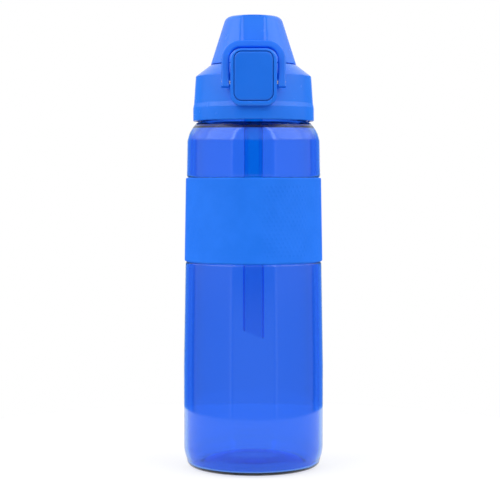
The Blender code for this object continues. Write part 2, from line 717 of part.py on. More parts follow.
def make_cap(material):
    lean = math.degrees(math.atan2(CAP_R - CAP_TOP_R, CAP_H))
    setback = CAP_FILLET * math.tan(math.radians(45 - lean / 2))
    fillet = arc((CAP_TOP_R - setback, CAP_TOP - CAP_FILLET), CAP_FILLET, lean, 90, 5)
    outline = [(0, CAP_Z), (CAP_R, CAP_Z)] + fillet + [(0, CAP_TOP)]
    cap = turned("flip_cap", outline, material, origin=(0, HINGE_Y, HINGE_Z))
    combine(cap, make_cap_arms() + [make_tongue()], "UNION")

    hole = circle((HINGE_Y, HINGE_Z), PIN_R + RUN)
    reach = SPRING_HALF + KNUCKLE_W + OVERSHOOT
    combine(cap, [
        make_cap_hollow(),
        channel_block("channel_tool", CHANNEL_W / 2, 0, CAP_Z - OVERSHOOT, CAP_TOP + OVERSHOOT),
        prism("knuckle_bore_tool", hole, "X", -reach, reach),
    ], "DIFFERENCE")
    return cap


def make_cap_seal(material):
    top = PLUG_Z + PLUG_T
    roof = CAP_ROOF - FIT
    outline = [
        (0, PLUG_Z), (PLUG_R, PLUG_Z), (PLUG_R, top), (PLUG_STEM_R, top), (PLUG_STEM_R, roof), (0, roof),
    ]
    return turned("cap_seal", outline, material, sides=32, origin=(0, HINGE_Y, HINGE_Z))


def make_hinge_pin(material):
    half = SPRING_HALF + KNUCKLE_W + EAR_W + 2 * FIT
    outline = circle((HINGE_Y, HINGE_Z), PIN_R)
    return prism("hinge_pin", outline, "X", -half, half, material, origin=(0, HINGE_Y, HINGE_Z))


def make_cap_spring(material):
    """Torsion spring: one leg stands on the chamfer, the other lies against the cap."""
    radius = PIN_R + SPRING_LOOSE + HINGE_WIRE_R
    half = SPRING_HALF - HINGE_WIRE_R - FIT
    steps_per_turn = 12
    steps = round(HINGE_COIL_TURNS * steps_per_turn)
    points = []
    foot = chamfer_height(HINGE_Y + radius) + FIT + HINGE_WIRE_R * 2
    points.append((-half, HINGE_Y + radius, foot))
    for k in range(steps + 1):
        angle = math.tau * k / steps_per_turn
        across = -half + 2 * half * k / steps
        points.append((across, HINGE_Y + radius * math.cos(angle), HINGE_Z + radius * math.sin(angle)))
    rest = CAP_R + HINGE_WIRE_R + FIT
    points.append((half, rest, HINGE_Z + radius))
    return wire("cap_spring", points, HINGE_WIRE_R, material)


def chamfer_height(radius):
    """Height of the shell's chamfer at a distance from the axis."""
    share = (radius - DECK_R) / (SHELL_TOP_R - DECK_R)
    return DECK_Z - CHAMFER_H * share


# ---- button ----------------------------------------------------------------------------------------
def make_button(material):
    outline = rounded_rectangle(BUTTON_W, BUTTON_LOW, BUTTON_TOP, BUTTON_CORNER)
    origin = (0, -BUTTON_BACK, BUTTON_MID)
    button = prism("push_button", outline, "Y", -BUTTON_FRONT, -BUTTON_BACK, material, origin)
    bevel(button, BUTTON_EDGE)
    socket = box(
        "socket_tool",
        (-SLIDE_W / 2 - FIT, -SLIDE_FRONT - FIT, SLIDE_Z - FIT),
        (SLIDE_W / 2 + FIT, -BUTTON_BACK + FIT, SLIDE_Z + SLIDE_T + FIT))
    combine(button, [socket], "DIFFERENCE")
    return button


def make_slide(material):
    slide = box(
        "latch_slide", (-SLIDE_W / 2, -SLIDE_FRONT, SLIDE_Z),
        (SLIDE_W / 2, -WINDOW_BACK + SLIDE_REACH, SLIDE_Z + SLIDE_T), material,
        origin=(0, -SLIDE_FRONT, SLIDE_Z))
    window = box(
        "window_tool", (-WINDOW_W / 2, -WINDOW_FRONT, SLIDE_Z - SLIDE_T),
        (WINDOW_W / 2, -WINDOW_BACK, SLIDE_Z + 2 * SLIDE_T))
    combine(slide, [window], "DIFFERENCE")
    return slide


def make_button_spring(material):
    middle = BUTTON_TOP - (SPRING_ROOM_H + SHELL_WALL) / 2
    front = -BUTTON_BACK + FIT + SPRING_WIRE_R
    back = -POCKET_DEEP - FIT - SPRING_WIRE_R
    steps_per_turn = 16
    steps = SPRING_TURNS * steps_per_turn
    points = []
    for k in range(steps + 1):
        angle = math.tau * k / steps_per_turn
        along = front + (back - front) * k / steps
        points.append((SPRING_R * math.cos(angle), along, middle + SPRING_R * math.sin(angle)))
    return wire("button_spring", points, SPRING_WIRE_R, material)


# ---- lock bail -----------------------------------------------------------------------------------------
def make_bail(material):
    """A U drawn upright in the plane of its pivot, then leaned back about the pivot."""
    outer = BAIL_IN + BAIL_BAR
    lean = math.radians(BAIL_LEAN_DEG)
    inner_top = PIVOT_Z + (HOUSING_TOP + BAIL_OVER - PIVOT_Z) / math.cos(lean)
    top = inner_top + BAIL_TOP_BAR
    foot = PIVOT_Z - BAIL_FOOT
    inner_corner = BAIL_CORNER - BAIL_BAR
    outline = [(outer, foot)] + arc((outer - BAIL_CORNER, top - BAIL_CORNER), BAIL_CORNER, 0, 90, 6)
    outline += arc((-outer + BAIL_CORNER, top - BAIL_CORNER), BAIL_CORNER, 90, 180, 6) + [(-outer, foot)]
    outline += [(-BAIL_IN, foot)]
    outline += arc((-BAIL_IN + inner_corner, inner_top - inner_corner), inner_corner, 180, 90, 5)
    outline += arc((BAIL_IN - inner_corner, inner_top - inner_corner), inner_corner, 90, 0, 5)
    outline += [(BAIL_IN, foot)]
    pivot = (0, -BAIL_PIVOT_Y, PIVOT_Z)
    half = BAIL_T / 2
    bail = prism("lock_bail", outline, "Y", -BAIL_PIVOT_Y - half, -BAIL_PIVOT_Y + half, material, pivot)
    lip = box(
        "bail_lip_tool", (-BAIL_LIP_W / 2, -BAIL_PIVOT_Y + half - FIT, top - FIT - BAIL_LIP_T),
        (BAIL_LIP_W / 2, -BAIL_PIVOT_Y + half + BAIL_LIP_REACH, top - FIT), origin=pivot)
    for piece in (bail, lip):
        piece.rotation_euler = (-lean, 0, 0)
    combine(bail, [lip], "UNION")
    bore = prism(
        "leg_bore_tool", circle((-BAIL_PIVOT_Y, PIVOT_Z), BAIL_PIN_R + RUN), "X",
        -outer - OVERSHOOT, outer + OVERSHOOT)
    combine(bail, [bore], "DIFFERENCE")
    bevel(bail, BAIL_EDGE, angle_deg=60, segments=1)
    return bail


def make_bail_pin(name, side, material):
    pivot = (0, -BAIL_PIVOT_Y, PIVOT_Z)
    inner = BUTTON_W / 2 + POCKET_SLACK * 2
    ends = sorted((side * inner, side * (BAIL_IN + BAIL_BAR)))
    return prism(name, circle((-BAIL_PIVOT_Y, PIVOT_Z), BAIL_PIN_R), "X", *ends, material, pivot)


# ---- straw -----------------------------------------------------------------------------------------------
def make_adaptor(material):
    flange_top = PLATE_Z - FIT
    flange_low = flange_top - ADAPTOR_FLANGE_T
    top = STUB_TOP - FIT
    outline = [
        (ADAPTOR_BORE_R, STRAW_TOP - SPIGOT_H), (SPIGOT_R, STRAW_TOP - SPIGOT_H), (SPIGOT_R, STRAW_TOP),
        (ADAPTOR_R, STRAW_TOP), (ADAPTOR_R, flange_low), (ADAPTOR_FLANGE_R, flange_low),
        (ADAPTOR_FLANGE_R, flange_top), (ADAPTOR_R, flange_top), (ADAPTOR_R, top), (ADAPTOR_BORE_R, top),
    ]
    return turned("straw_adaptor", outline, material, sides=SMALL_ROUND)


def make_straw(material):
    bore = SPIGOT_R + FIT
    outline = [
        (bore, STRAW_END), (STRAW_R, STRAW_END), (STRAW_R, STRAW_TOP - FIT), (bore, STRAW_TOP - FIT),
    ]
    straw = turned("straw", outline, material, sides=SMALL_ROUND)
    for corner in straw.data.vertices:
        if corner.co.z < STRAW_END + FIT:
            corner.co.z += STRAW_SLANT * corner.co.x
    return straw


def main():
    clear_scene()
    clear_tint = finish("clear_tint", (0.10, 0.16, 0.80), 0.08, transmission=0.9)
    shell_blue = finish("shell_blue", (0.03, 0.22, 0.90), 0.32)
    part_blue = finish("part_blue", (0.03, 0.18, 0.84), 0.35)
    sleeve_blue = finish("sleeve_blue", (0.03, 0.20, 0.90), 0.6)
    liner_blue = finish("liner_blue", (0.03, 0.20, 0.85), 0.4)
    silicone = finish("silicone", (0.80, 0.84, 0.88), 0.55)
    straw_tint = finish("straw_tint", (0.30, 0.45, 0.90), 0.2, transmission=0.6)
    steel = finish("steel", (0.70, 0.70, 0.72), 0.25, metallic=1.0)

    make_bottle(clear_tint)
    make_sleeve(sleeve_blue)
    make_shell(shell_blue)
    make_liner(liner_blue)
    make_neck_seal(silicone)
    make_mouthpiece(silicone)
    make_vent_valve(silicone)
    make_cap(shell_blue)
    make_cap_seal(silicone)
    make_hinge_pin(steel)
    make_cap_spring(steel)
    make_button(part_blue)
    make_slide(part_blue)
    make_button_spring(steel)
    make_bail(part_blue)
    make_bail_pin("bail_pin_left", -1, steel)
    make_bail_pin("bail_pin_right", 1, steel)
    make_adaptor(part_blue)
    make_straw(straw_tint)


main()
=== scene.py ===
"""Looks of the sports bottle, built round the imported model.

Metres, +Z up, the front faces -Y. Each visible piece replaces its CAD node and rides on the same
body.
"""
import json
import math

import bmesh
import bpy
from mathutils import Matrix, Vector

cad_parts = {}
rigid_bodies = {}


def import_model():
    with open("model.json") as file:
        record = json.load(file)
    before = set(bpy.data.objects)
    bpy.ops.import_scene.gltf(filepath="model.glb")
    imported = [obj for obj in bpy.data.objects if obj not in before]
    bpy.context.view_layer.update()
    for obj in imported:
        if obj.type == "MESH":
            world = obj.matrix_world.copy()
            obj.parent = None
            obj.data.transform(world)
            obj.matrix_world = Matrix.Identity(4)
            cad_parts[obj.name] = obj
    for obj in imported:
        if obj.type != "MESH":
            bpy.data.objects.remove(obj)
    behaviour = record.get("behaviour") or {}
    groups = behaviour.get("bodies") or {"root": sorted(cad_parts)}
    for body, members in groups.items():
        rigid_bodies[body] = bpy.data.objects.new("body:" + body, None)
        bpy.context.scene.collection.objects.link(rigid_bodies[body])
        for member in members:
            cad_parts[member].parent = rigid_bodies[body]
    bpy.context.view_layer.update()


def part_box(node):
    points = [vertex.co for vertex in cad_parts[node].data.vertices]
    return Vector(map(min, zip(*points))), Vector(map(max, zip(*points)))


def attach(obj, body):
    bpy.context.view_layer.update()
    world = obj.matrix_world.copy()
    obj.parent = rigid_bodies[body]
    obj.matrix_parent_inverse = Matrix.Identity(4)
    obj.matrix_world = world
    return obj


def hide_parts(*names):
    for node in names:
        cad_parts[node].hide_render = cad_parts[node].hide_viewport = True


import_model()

# ---- sizes read from the frame ----
BODY_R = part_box("bottle_body")[1].x
RIM_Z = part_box("bottle_body")[1].z
SLEEVE_Z, SLEEVE_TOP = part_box("grip_sleeve")[0].z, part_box("grip_sleeve")[1].z
SHELL_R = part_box("lid_shell")[1].x
LID_Z, HOUSING_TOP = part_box("lid_shell")[0].z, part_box("lid_shell")[1].z
HOUSING_FRONT = -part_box("lid_shell")[0].y
LINER_R, STUB_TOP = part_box("lid_liner")[1].x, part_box("lid_liner")[1].z
CAP_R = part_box("flip_cap")[1].x
CAP_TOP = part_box("flip_cap")[1].z
TONGUE_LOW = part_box("flip_cap")[0].z
BUTTON_W = 2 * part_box("push_button")[1].x
BUTTON_FRONT, BUTTON_BACK = -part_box("push_button")[0].y, -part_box("push_button")[1].y
BUTTON_LOW, BUTTON_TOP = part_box("push_button")[0].z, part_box("push_button")[1].z
MOUTH_BASE_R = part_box("mouthpiece")[1].x
MOUTH_LOW, MOUTH_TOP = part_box("mouthpiece")[0].z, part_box("mouthpiece")[1].z
BAIL_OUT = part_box("lock_bail")[1].x

# ---- sizes of the shapes ----
SIDES = 192  # sides of a large turned piece
FIT = 0.0003  # gap between pieces that touch
OVERSHOOT = 0.002  # how far a cutter reaches past what it cuts
RUN = 0.00008  # room round a pin in its bore

BODY_TOP_R = 0.0360
BODY_H = 0.177
STRAIGHT_H = 0.055
BASE_CURVE_H = 0.012
BASE_TUCK = 0.0016
BASE_CORNER = 0.0035
RING_W = 0.0045
PUNT_H = 0.004
WALL = 0.0020
BASE_STEPS = 8  # mesh rows up the curved foot of the wall
PUNT_STEPS = 16  # mesh rows from the punt's middle to its edge
SEAT_DEPTH = 0.0006
SEAT_LIP = 0.0014  # height of the rounded step at each end of the sleeve's seat
LIP_STEPS = 6
SHOULDER_Z = LID_Z - 0.0011
SHOULDER_R = 0.0312
SHOULDER_BULGE = 0.0008
NECK_R = 0.0272
NECK_WALL = 0.0024
NECK_COVE = 0.0018

SLEEVE_T = 0.0010
SLEEVE_GAP = 0.0002
SLEEVE_LOW_ROUND, SLEEVE_TOP_ROUND = 0.0007, 0.0005
SLEEVE_ROWS = 110  # mesh rows, close enough to carry the grip pattern
DOT_PITCH = 0.0026  # along a row of the grip pattern
DOT_R = 0.0007
DOT_H = 0.0002
PATCH_HALF_DEG = 26  # half the width of a patch of the grip pattern
PATCH_DEG = -62  # middle of the patch, from +X towards +Y
PATCH_FADE_DEG = 10
PLAIN_EDGE = 0.003  # strip without dots at each end of the sleeve
FINE_DEG = 0.6  # mesh columns in a patch
COARSE_DEG = 2.0  # mesh columns between the patches

PITCH = 0.005
NECK_TURNS = 1.25
LINER_TURNS = 1.0
RIDGE_H = 0.0012
RIDGE_ROOT = 0.0024
RIDGE_CREST = 0.0008
NECK_THREAD_Z = LID_Z + 0.0045
LINER_THREAD_Z = NECK_THREAD_Z - 0.00177
THREAD_STEP = 0.0003  # height of the mesh rows that carry a thread

SHELL_WALL = 0.0014
SHELL_STEP = 0.0005
SHELL_STEP_H = 0.0089
STEP_DOWN, STEP_UP = 0.0018, 0.0006  # how far the slope of the step reaches
STEP_ROUND = 0.0030
SHELL_TOP_R = SHELL_R - 0.0015
SHELL_BORE_R = LINER_R + FIT
CHAMFER_Z = RIM_Z + 0.0082
DECK_Z = CHAMFER_Z + 0.0060
DECK_R = SHELL_TOP_R - 0.0079
DECK_T = 0.0018
LINER_WALL = 0.0017
LINER_SETBACK = 0.0005
SEAL_T = 0.0012
PLATE_Z = RIM_Z + SEAL_T + 2 * FIT
PLATE_TOP = PLATE_Z + 0.0018
STUB_R = 0.0090
STUB_BORE_R = 0.0053
VENT_Y = 0.0160
VENT_R = 0.0032
VENT_BORE_R = 0.0015
NOZZLE_FOOT_R = 0.0108
NOZZLE_SHOULDER_R = 0.0092
NOZZLE_NECK_R = 0.0062
NOZZLE_LIP_R = 0.0068
NOZZLE_TOP_R = 0.0066
NOZZLE_BORE_R = 0.0032

HOUSING_W = BUTTON_W + 0.0042
HOUSING_Z = HOUSING_TOP - (BUTTON_TOP - BUTTON_LOW) - 0.0044
HOUSING_CORNER = 0.0058
HOUSING_DEPTH = 0.0081
HOUSING_EDGE = 0.0009
BUTTON_CORNER = 0.0038
BUTTON_EDGE = 0.0005
BUTTON_EDGE_W = 0.0012  # width of the rounded edge on the button's face
BUTTON_CROWN = 0.00015
POCKET_SLACK = 0.0003
POCKET_LIP = 0.0005
POCKET_BACK = BUTTON_BACK - 0.0016
POCKET_DEEP = HOUSING_FRONT - HOUSING_DEPTH + SHELL_WALL
SPRING_ROOM_H = 0.0101
SLIDE_W = 0.0100
SLIDE_T = 0.0020
SLIDE_Z = PLATE_TOP + 0.0013
SLIDE_FRONT = BUTTON_BACK + 0.0009

CAP_Z = DECK_Z + 0.0004
CAP_TOP_R = CAP_R - 0.0083
CAP_FILLET = 0.0038
CAP_WALL = 0.0020
CAP_ROOF = CAP_TOP - 0.0022
FRONT_HALF = 0.0084  # half the width of the mesh columns that run straight up the cap's front
FRONT_STEPS = 56
ROUND_STEPS = 150
CHANNEL_W = 0.0110
CHANNEL_LOW_Y = CAP_R - 0.0028
CHANNEL_HIGH_Y = CAP_TOP_R - 0.0022
CHANNEL_WALL = 0.0018
CHANNEL_INNER_ROUND = 0.0014
SHOULDER_ROUND = 0.0026  # width of the rounded edge beside the channel
TONGUE_W = 0.0070
TONGUE_FRONT = CHANNEL_LOW_Y - FIT
TONGUE_BACK = TONGUE_FRONT - 0.0016
TONGUE_NIB = 0.0004
TONGUE_PLAY = 0.0014  # room before the tongue in the deck's slot
WINDOW_FRONT = TONGUE_FRONT + 0.0028
WINDOW_BACK = TONGUE_BACK - TONGUE_NIB - FIT
WINDOW_W = 0.008
SLIDE_BACK = WINDOW_BACK - 0.0017
PLUG_Z = MOUTH_TOP + FIT
PLUG_R = 0.0085
PLUG_STEM_R = 0.0052
PLUG_T = 0.0020

HINGE_Y, HINGE_Z = 0.0282, 0.2182
KNUCKLE_R = 0.0028
KNUCKLE_W = 0.0032
EAR_W = 0.0030
PIN_R = 0.0010
SPRING_HALF = 0.0035
HINGE_WIRE_R = 0.00035
HINGE_TURNS = 5.25
PRESS_WIRE_R = 0.0003
PRESS_TURNS = 3
PRESS_SHORTER = 0.0014  # the spring is drawn about as short as the pressed button makes it

BAIL_BAR = 0.0042
BAIL_T = 0.0036
BAIL_IN = BAIL_OUT - BAIL_BAR
BAIL_PIVOT_Y, BAIL_PIVOT_Z = 0.0326, 0.2065
BAIL_LEAN = math.radians(14)
BAIL_CORNER = 0.0100
BAIL_OVER = 0.0007
BAIL_TOP_BAR = 0.0039
BAIL_FOOT = 0.0025
BAIL_ROUND = 0.0010
BAIL_LIP_W = 0.0100
BAIL_LIP_REACH = 0.0038
BAIL_LIP_T = 0.0018
BAIL_PIN_R = 0.0012

ADAPTOR_R = 0.0050
ADAPTOR_BORE_R = 0.0034
FLANGE_R = 0.0085
FLANGE_T = 0.0016
SPIGOT_R = 0.0044
SPIGOT_H = 0.014
STRAW_R = 0.0057
STRAW_TOP = LID_Z - 0.0475
STRAW_END = STRAW_TOP - 0.0685
STRAW_SLANT = -0.40  # rise of the straw's cut end along +X

# ---- surroundings ----
TABLE_R = 0.23
TABLE_TOP = -0.0005
TABLE_T = 0.02
LAMP_SIZE = 0.9
LAMP_AIM = (0, 0, 0.16)
# Light as (degrees to either side of the camera's side, grey level or colour), by height.
SIDE_BLUE = (0.12, 0.36, 0.95)
LOW_LIGHT = [
    (33, 0.5), (35, 0.05), (37, 0.9), (39, 0.9), (41, 0.46), (60, 0.42), (113, 0.35), (117, 0.0), (121, 0.0),
    (125, SIDE_BLUE), (160, SIDE_BLUE), (168, 1.0), (180, 1.0),
]
LEVEL_LIGHT = [
    (16, 0.05), (35, 0.1), (37, 0.9), (39, 0.9), (41, 0.6), (60, 0.6), (113, 0.5), (117, 0.1), (121, 0.1),
    (125, SIDE_BLUE), (160, SIDE_BLUE), (168, 1.1), (180, 1.1),
]
HIGH_LIGHT = [
    (33, 0.85), (37, 4.5), (41, 4.5), (44, 1.8), (60, 1.7), (118, 1.6), (130, 1.0), (180, 1.0),
]
# Shares as (sine of the elevation, share).
ABOVE_LOW = [(-1, 0), (-0.07, 0), (-0.02, 1), (1, 1)]
ABOVE_LEVEL = [(-1, 0), (0.12, 0), (0.35, 1), (1, 1)]
OVERHEAD = [(-1, 0), (0.84, 0), (0.94, 1), (1, 1)]
OVERHEAD_LEVEL = 0.45


# ---- mesh tools ----
def arc(centre, radius, start_deg, end_deg, steps):
    points = []
    for k in range(steps + 1):
        angle = math.radians(start_deg + (end_deg - start_deg) * k / steps)
        points.append((centre[0] + radius * math.cos(angle), centre[1] + radius * math.sin(angle)))
    return points


def rounded(corners, steps=5):
    """A closed outline through (a, b, radius) corners, each rounded by its radius where it fits."""
    points = []
    for k, (a, b, radius) in enumerate(corners):
        if radius == 0:
            points.append((a, b))
            continue
        here = Vector((a, b))
        back = Vector(corners[k - 1][:2]) - here
        ahead = Vector(corners[(k + 1) % len(corners)][:2]) - here
        half = back.angle(ahead) / 2
        reach = min(radius / math.tan(half), 0.48 * back.length, 0.48 * ahead.length)
        middle = (back.normalized() + ahead.normalized()).normalized()
        centre = here + middle * (reach / math.cos(half))
        arm = here + back.normalized() * reach - centre
        to = here + ahead.normalized() * reach - centre
        sweep = math.atan2(arm.x * to.y - arm.y * to.x, arm.dot(to))
        for n in range(steps + 1):
            turn = sweep * n / steps
            points.append((
                centre.x + arm.x * math.cos(turn) - arm.y * math.sin(turn),
                centre.y + arm.x * math.sin(turn) + arm.y * math.cos(turn),
            ))
    return points


def rounded_rectangle(width, low, high, corner, steps=8):
    half = width / 2 - corner
    points = arc((half, high - corner), corner, 0, 90, steps)
    points += arc((-half, high - corner), corner, 90, 180, steps)
    points += arc((-half, low + corner), corner, 180, 270, steps)
    points += arc((half, low + corner), corner, 270, 360, steps)
    return points


def lathe(outline, sides=SIDES, centre=(0, 0)):
    """Turn a closed (radius, height) outline about a vertical line."""
    shape = bmesh.new()
    turns = [math.tau * k / sides for k in range(sides)]
    rings = []
    for radius, height in outline:
        if radius == 0:
            rings.append([shape.verts.new((*centre, height))])
            continue
        rings.append(ring_of(shape, [
            (centre[0] + radius * math.cos(a), centre[1] + radius * math.sin(a), height) for a in turns]))
    join(shape, rings + rings[:1])
    return shape


def ring_of(shape, points):
    return [shape.verts.new(point) for point in points]


def bridge(shape, near, far):
    """Join two rings, of which one may be a single point."""
    count = max(len(near), len(far))
    if count == 1:
        return
    for k in range(count):
        after = (k + 1) % count
        corners = [near[k % len(near)], near[after % len(near)], far[after % len(far)], far[k % len(far)]]
        shape.faces.new(list(dict.fromkeys(corners)))


def join(shape, rings):
    for near, far in zip(rings, rings[1:]):
        bridge(shape, near, far)


def loft(rings):
    """A closed solid through rings of points, capped at both ends."""
    shape = bmesh.new()
    made = [ring_of(shape, ring) for ring in rings]
    join(shape, made)
    shape.faces.new(made[0])
    shape.faces.new(made[-1])
    return shape


def prism(outline, axis, low, high):
    """Extrude an outline along X, Y or Z. Its points are the other two coordinates, in order."""
    rings = []
    for at in (low, high):
        rings.append([{"X": (at, u, v), "Y": (u, at, v), "Z": (u, v, at)}[axis] for u, v in outline])
    return loft(rings)


def slab(low, high):
    corners = [(low[0], low[1]), (high[0], low[1]), (high[0], high[1]), (low[0], high[1])]
    return prism(corners, "Z", low[2], high[2])


def circle(centre, radius, sides=48):
    return arc(centre, radius, 0, 360, sides)[:-1]


def tube(points, radius, sides=12):
    """A round wire through points, with flat ends."""
    points = [Vector(p) for p in points]
    rings = []
    side = None
    for k, point in enumerate(points):
        along = (points[min(k + 1, len(points) - 1)] - points[max(k - 1, 0)]).normalized()
        if side is None:
            side = along.orthogonal()
        side = (side - along * side.dot(along)).normalized()
        other = along.cross(side)
        ring = []
        for n in range(sides):
            angle = math.tau * n / sides
            ring.append(point + (side * math.cos(angle) + other * math.sin(angle)) * radius)
        rings.append(ring)
    return loft(rings)


def smooth_step(x):
    x = min(1.0, max(0.0, x))
    return x * x * (3 - 2 * x)


def to_object(shape, name):
    bmesh.ops.recalc_face_normals(shape, faces=shape.faces)
    mesh = bpy.data.meshes.new(name)
    shape.to_mesh(mesh)
    shape.free()
    made = bpy.data.objects.new(name, mesh)
    bpy.context.scene.collection.objects.link(made)
    return made


def settle(made):
    """Apply the modifiers."""
    graph = bpy.context.evaluated_depsgraph_get()
    mesh = bpy.data.meshes.new_from_object(made.evaluated_get(graph))
    made.modifiers.clear()
    made.data = mesh


def bevelled(shape, width, segments=3, angle_deg=40):
    made = to_object(shape, "tool")
    modifier = made.modifiers.new("edge", "BEVEL")
    modifier.width = width
    modifier.segments = segments
    modifier.limit_method = "ANGLE"
    modifier.angle_limit = math.radians(angle_deg)
    settle(made)
    return made


def combine(made, tools, operation):
    """Union or difference with tools, which are then removed."""
    group = bpy.data.collections.new("tools")
    bpy.context.scene.collection.children.link(group)
    for k, tool in enumerate(tools):
        if isinstance(tool, bmesh.types.BMesh):
            tool = to_object(tool, f"tool_{k}")
        bpy.context.scene.collection.objects.unlink(tool)
        group.objects.link(tool)
    modifier = made.modifiers.new("cut", "BOOLEAN")
    modifier.operation = operation
    modifier.solver = "EXACT"
    modifier.operand_type = "COLLECTION"
    modifier.collection = group
    settle(made)
    for tool in list(group.objects):
        bpy.data.objects.remove(tool)
    bpy.data.collections.remove(group)


def show(made, name, material, body, nodes, sharp_deg=30):
    """Finish a piece: its name, shading and material, the body it rides on and the node it stands for."""
    if isinstance(made, bmesh.types.BMesh):
        made = to_object(made, name)
    made.name = name
    made.data.name = name
    made.data.shade_smooth()
    made.data.set_sharp_from_angle(angle=math.radians(sharp_deg))
    made.data.materials.clear()
    made.data.materials.append(material)
    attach(made, body)
    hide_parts(*nodes)


# ---- materials ----
def principled(name, **values):
    material = bpy.data.materials.new(name)
    material.use_nodes = True
    shader = material.node_tree.nodes["Principled BSDF"]
    for key, value in values.items():
        shader.inputs[key.replace("_", " ")].default_value = value
    return material, material.node_tree, shader


def noise(tree, scale, detail, stretch=(1, 1, 1)):
    """Noise in the object's own coordinates. scale is in features per metre."""
    place = tree.nodes.new("ShaderNodeTexCoord")
    mapping = tree.nodes.new("ShaderNodeMapping")
    mapping.inputs["Scale"].default_value = stretch
    texture = tree.nodes.new("ShaderNodeTexNoise")
    texture.inputs["Scale"].default_value = scale
    texture.inputs["Detail"].default_value = detail
    tree.links.new(place.outputs["Object"], mapping.inputs["Vector"])
    tree.links.new(mapping.outputs["Vector"], texture.inputs["Vector"])
    return texture.outputs["Fac"]


def calculate(tree, operation, *values):
    """A sum in nodes, where a value is a number or another node's output."""
    node = tree.nodes.new("ShaderNodeMath")
    node.operation = operation
    for socket, value in zip(node.inputs, values):
        if isinstance(value, bpy.types.NodeSocket):
            tree.links.new(value, socket)
        else:
            socket.default_value = value
    return node.outputs[0]


def spread(tree, factor, low, high, target):
    """Drive a value between low and high by a noise factor."""
    node = tree.nodes.new("ShaderNodeMapRange")
    node.inputs["From Min"].default_value = 0.3
    node.inputs["From Max"].default_value = 0.7
    node.inputs["To Min"].default_value = low
    node.inputs["To Max"].default_value = high
    tree.links.new(factor, node.inputs["Value"])
    tree.links.new(node.outputs["Result"], target)


def two_tone(tree, factor, dark, light, target):
    ramp = tree.nodes.new("ShaderNodeValToRGB")
    ramp.color_ramp.elements[0].position = 0.35
    ramp.color_ramp.elements[0].color = (*dark, 1)
    ramp.color_ramp.elements[1].position = 0.65
    ramp.color_ramp.elements[1].color = (*light, 1)
    tree.links.new(factor, ramp.inputs["Fac"])
    tree.links.new(ramp.outputs["Color"], target)


def grain(tree, shader, layers, distance):
    """Bump from layers of (noise output, weight)."""
    parts = [calculate(tree, "MULTIPLY", output, weight) for output, weight in layers]
    total = parts[0]
    for part in parts[1:]:
        total = calculate(tree, "ADD", total, part)
    bump = tree.nodes.new("ShaderNodeBump")
    bump.inputs["Strength"].default_value = 1.0
    bump.inputs["Distance"].default_value = distance
    tree.links.new(total, bump.inputs["Height"])
    tree.links.new(bump.outputs["Normal"], shader.inputs["Normal"])


def moulded(name, dark, light, rough_low, rough_high):
    """Opaque moulded plastic: a fine spark-eroded grain, slow flow marks and a slight wear of the gloss."""
    material, tree, shader = principled(name, Specular_IOR_Level=0.32)
    two_tone(tree, noise(tree, 60, 2), dark, light, shader.inputs["Base Color"])
    spread(tree, noise(tree, 220, 4), rough_low, rough_high, shader.inputs["Roughness"])
    grain(tree, shader, [(noise(tree, 2600, 2), 0.7), (noise(tree, 420, 2), 0.5)], 0.00001)
    return material


def clear_plastic(name, tint, rough_low, rough_high, ior, depth_tint=None, density=0):
    """Tinted see-through plastic: its walls are very slightly uneven and faintly rubbed."""
    material, tree, shader = principled(name, Transmission_Weight=1.0, IOR=ior)
    if density:
        absorb = tree.nodes.new("ShaderNodeVolumeAbsorption")
        absorb.inputs["Color"].default_value = (*depth_tint, 1)
        absorb.inputs["Density"].default_value = density
        tree.links.new(absorb.outputs["Volume"], tree.nodes["Material Output"].inputs["Volume"])
    shader.inputs["Base Color"].default_value = (*tint, 1)
    spread(tree, noise(tree, 300, 4), rough_low, rough_high, shader.inputs["Roughness"])
    grain(tree, shader, [(noise(tree, 45, 1), 1.0)], 0.00001)
    return material


def rubber(name, dark, light, roughness, bump, sheen=0.0, subsurface=0.0):
    material, tree, shader = principled(name, Specular_IOR_Level=0.22, Sheen_Weight=sheen)
    shader.inputs["Sheen Roughness"].default_value = 0.4
    shader.inputs["Subsurface Weight"].default_value = subsurface
    shader.inputs["Subsurface Radius"].default_value = (0.002, 0.002, 0.002)
    two_tone(tree, noise(tree, 90, 3), dark, light, shader.inputs["Base Color"])
    spread(tree, noise(tree, 700, 3), roughness - 0.06, roughness + 0.06, shader.inputs["Roughness"])
    grain(tree, shader, [(noise(tree, 3200, 2), 0.8), (noise(tree, 900, 2), 0.4)], bump)
    return material


def metal(name, colour, rough_low, rough_high):
    """Drawn stainless steel: fine scratches along X."""
    material, tree, shader = principled(name, Metallic=1.0)
    scratches = noise(tree, 3000, 3, (0.06, 1, 1))
    two_tone(tree, scratches, [0.8 * c for c in colour], colour, shader.inputs["Base Color"])
    spread(tree, scratches, rough_low, rough_high, shader.inputs["Roughness"])
    grain(tree, shader, [(scratches, 1.0)], 0.000004)
    return material


LID_BLUE = moulded("lid_blue", (0.012, 0.178, 0.86), (0.015, 0.192, 0.90), 0.20, 0.28)
# The button, slide and bail are the lid's plastic; this darker copy of the lid's blue is painted shade on
# them.
TRIM_BLUE_PAINTED_SHADE = moulded("trim_blue_painted_shade", (0.006, 0.155, 0.80), (0.009, 0.168, 0.84), 0.30, 0.38)
# The inner lid's own blue, painted much lighter as painted light: it brightens the shaded gap under the lid
# and the band seen through the neck.
LINER_BLUE_PAINTED_LIGHT = moulded("liner_blue", (0.004, 0.400, 0.84), (0.006, 0.420, 0.88), 0.34, 0.42)
SLEEVE_BLUE = rubber("sleeve_blue", (0.008, 0.172, 0.86), (0.011, 0.185, 0.90), 0.62, 0.00002)
CLEAR_TINT = clear_plastic(
    "clear_tint", (0.16, 0.39, 0.92), 0.03, 0.06, 1.40, depth_tint=(0.0, 0.45, 0.96), density=45)
STEM_TINT = clear_plastic("stem_tint", (0.02, 0.95, 0.95), 0.30, 0.38, 1.1)
STRAW_TINT = clear_plastic("straw_tint", (0.80, 0.89, 0.965), 0.10, 0.15, 1.08)
SILICONE = rubber("silicone", (0.78, 0.83, 0.90), (0.84, 0.88, 0.93), 0.42, 0.00001, 0.05, 0.3)
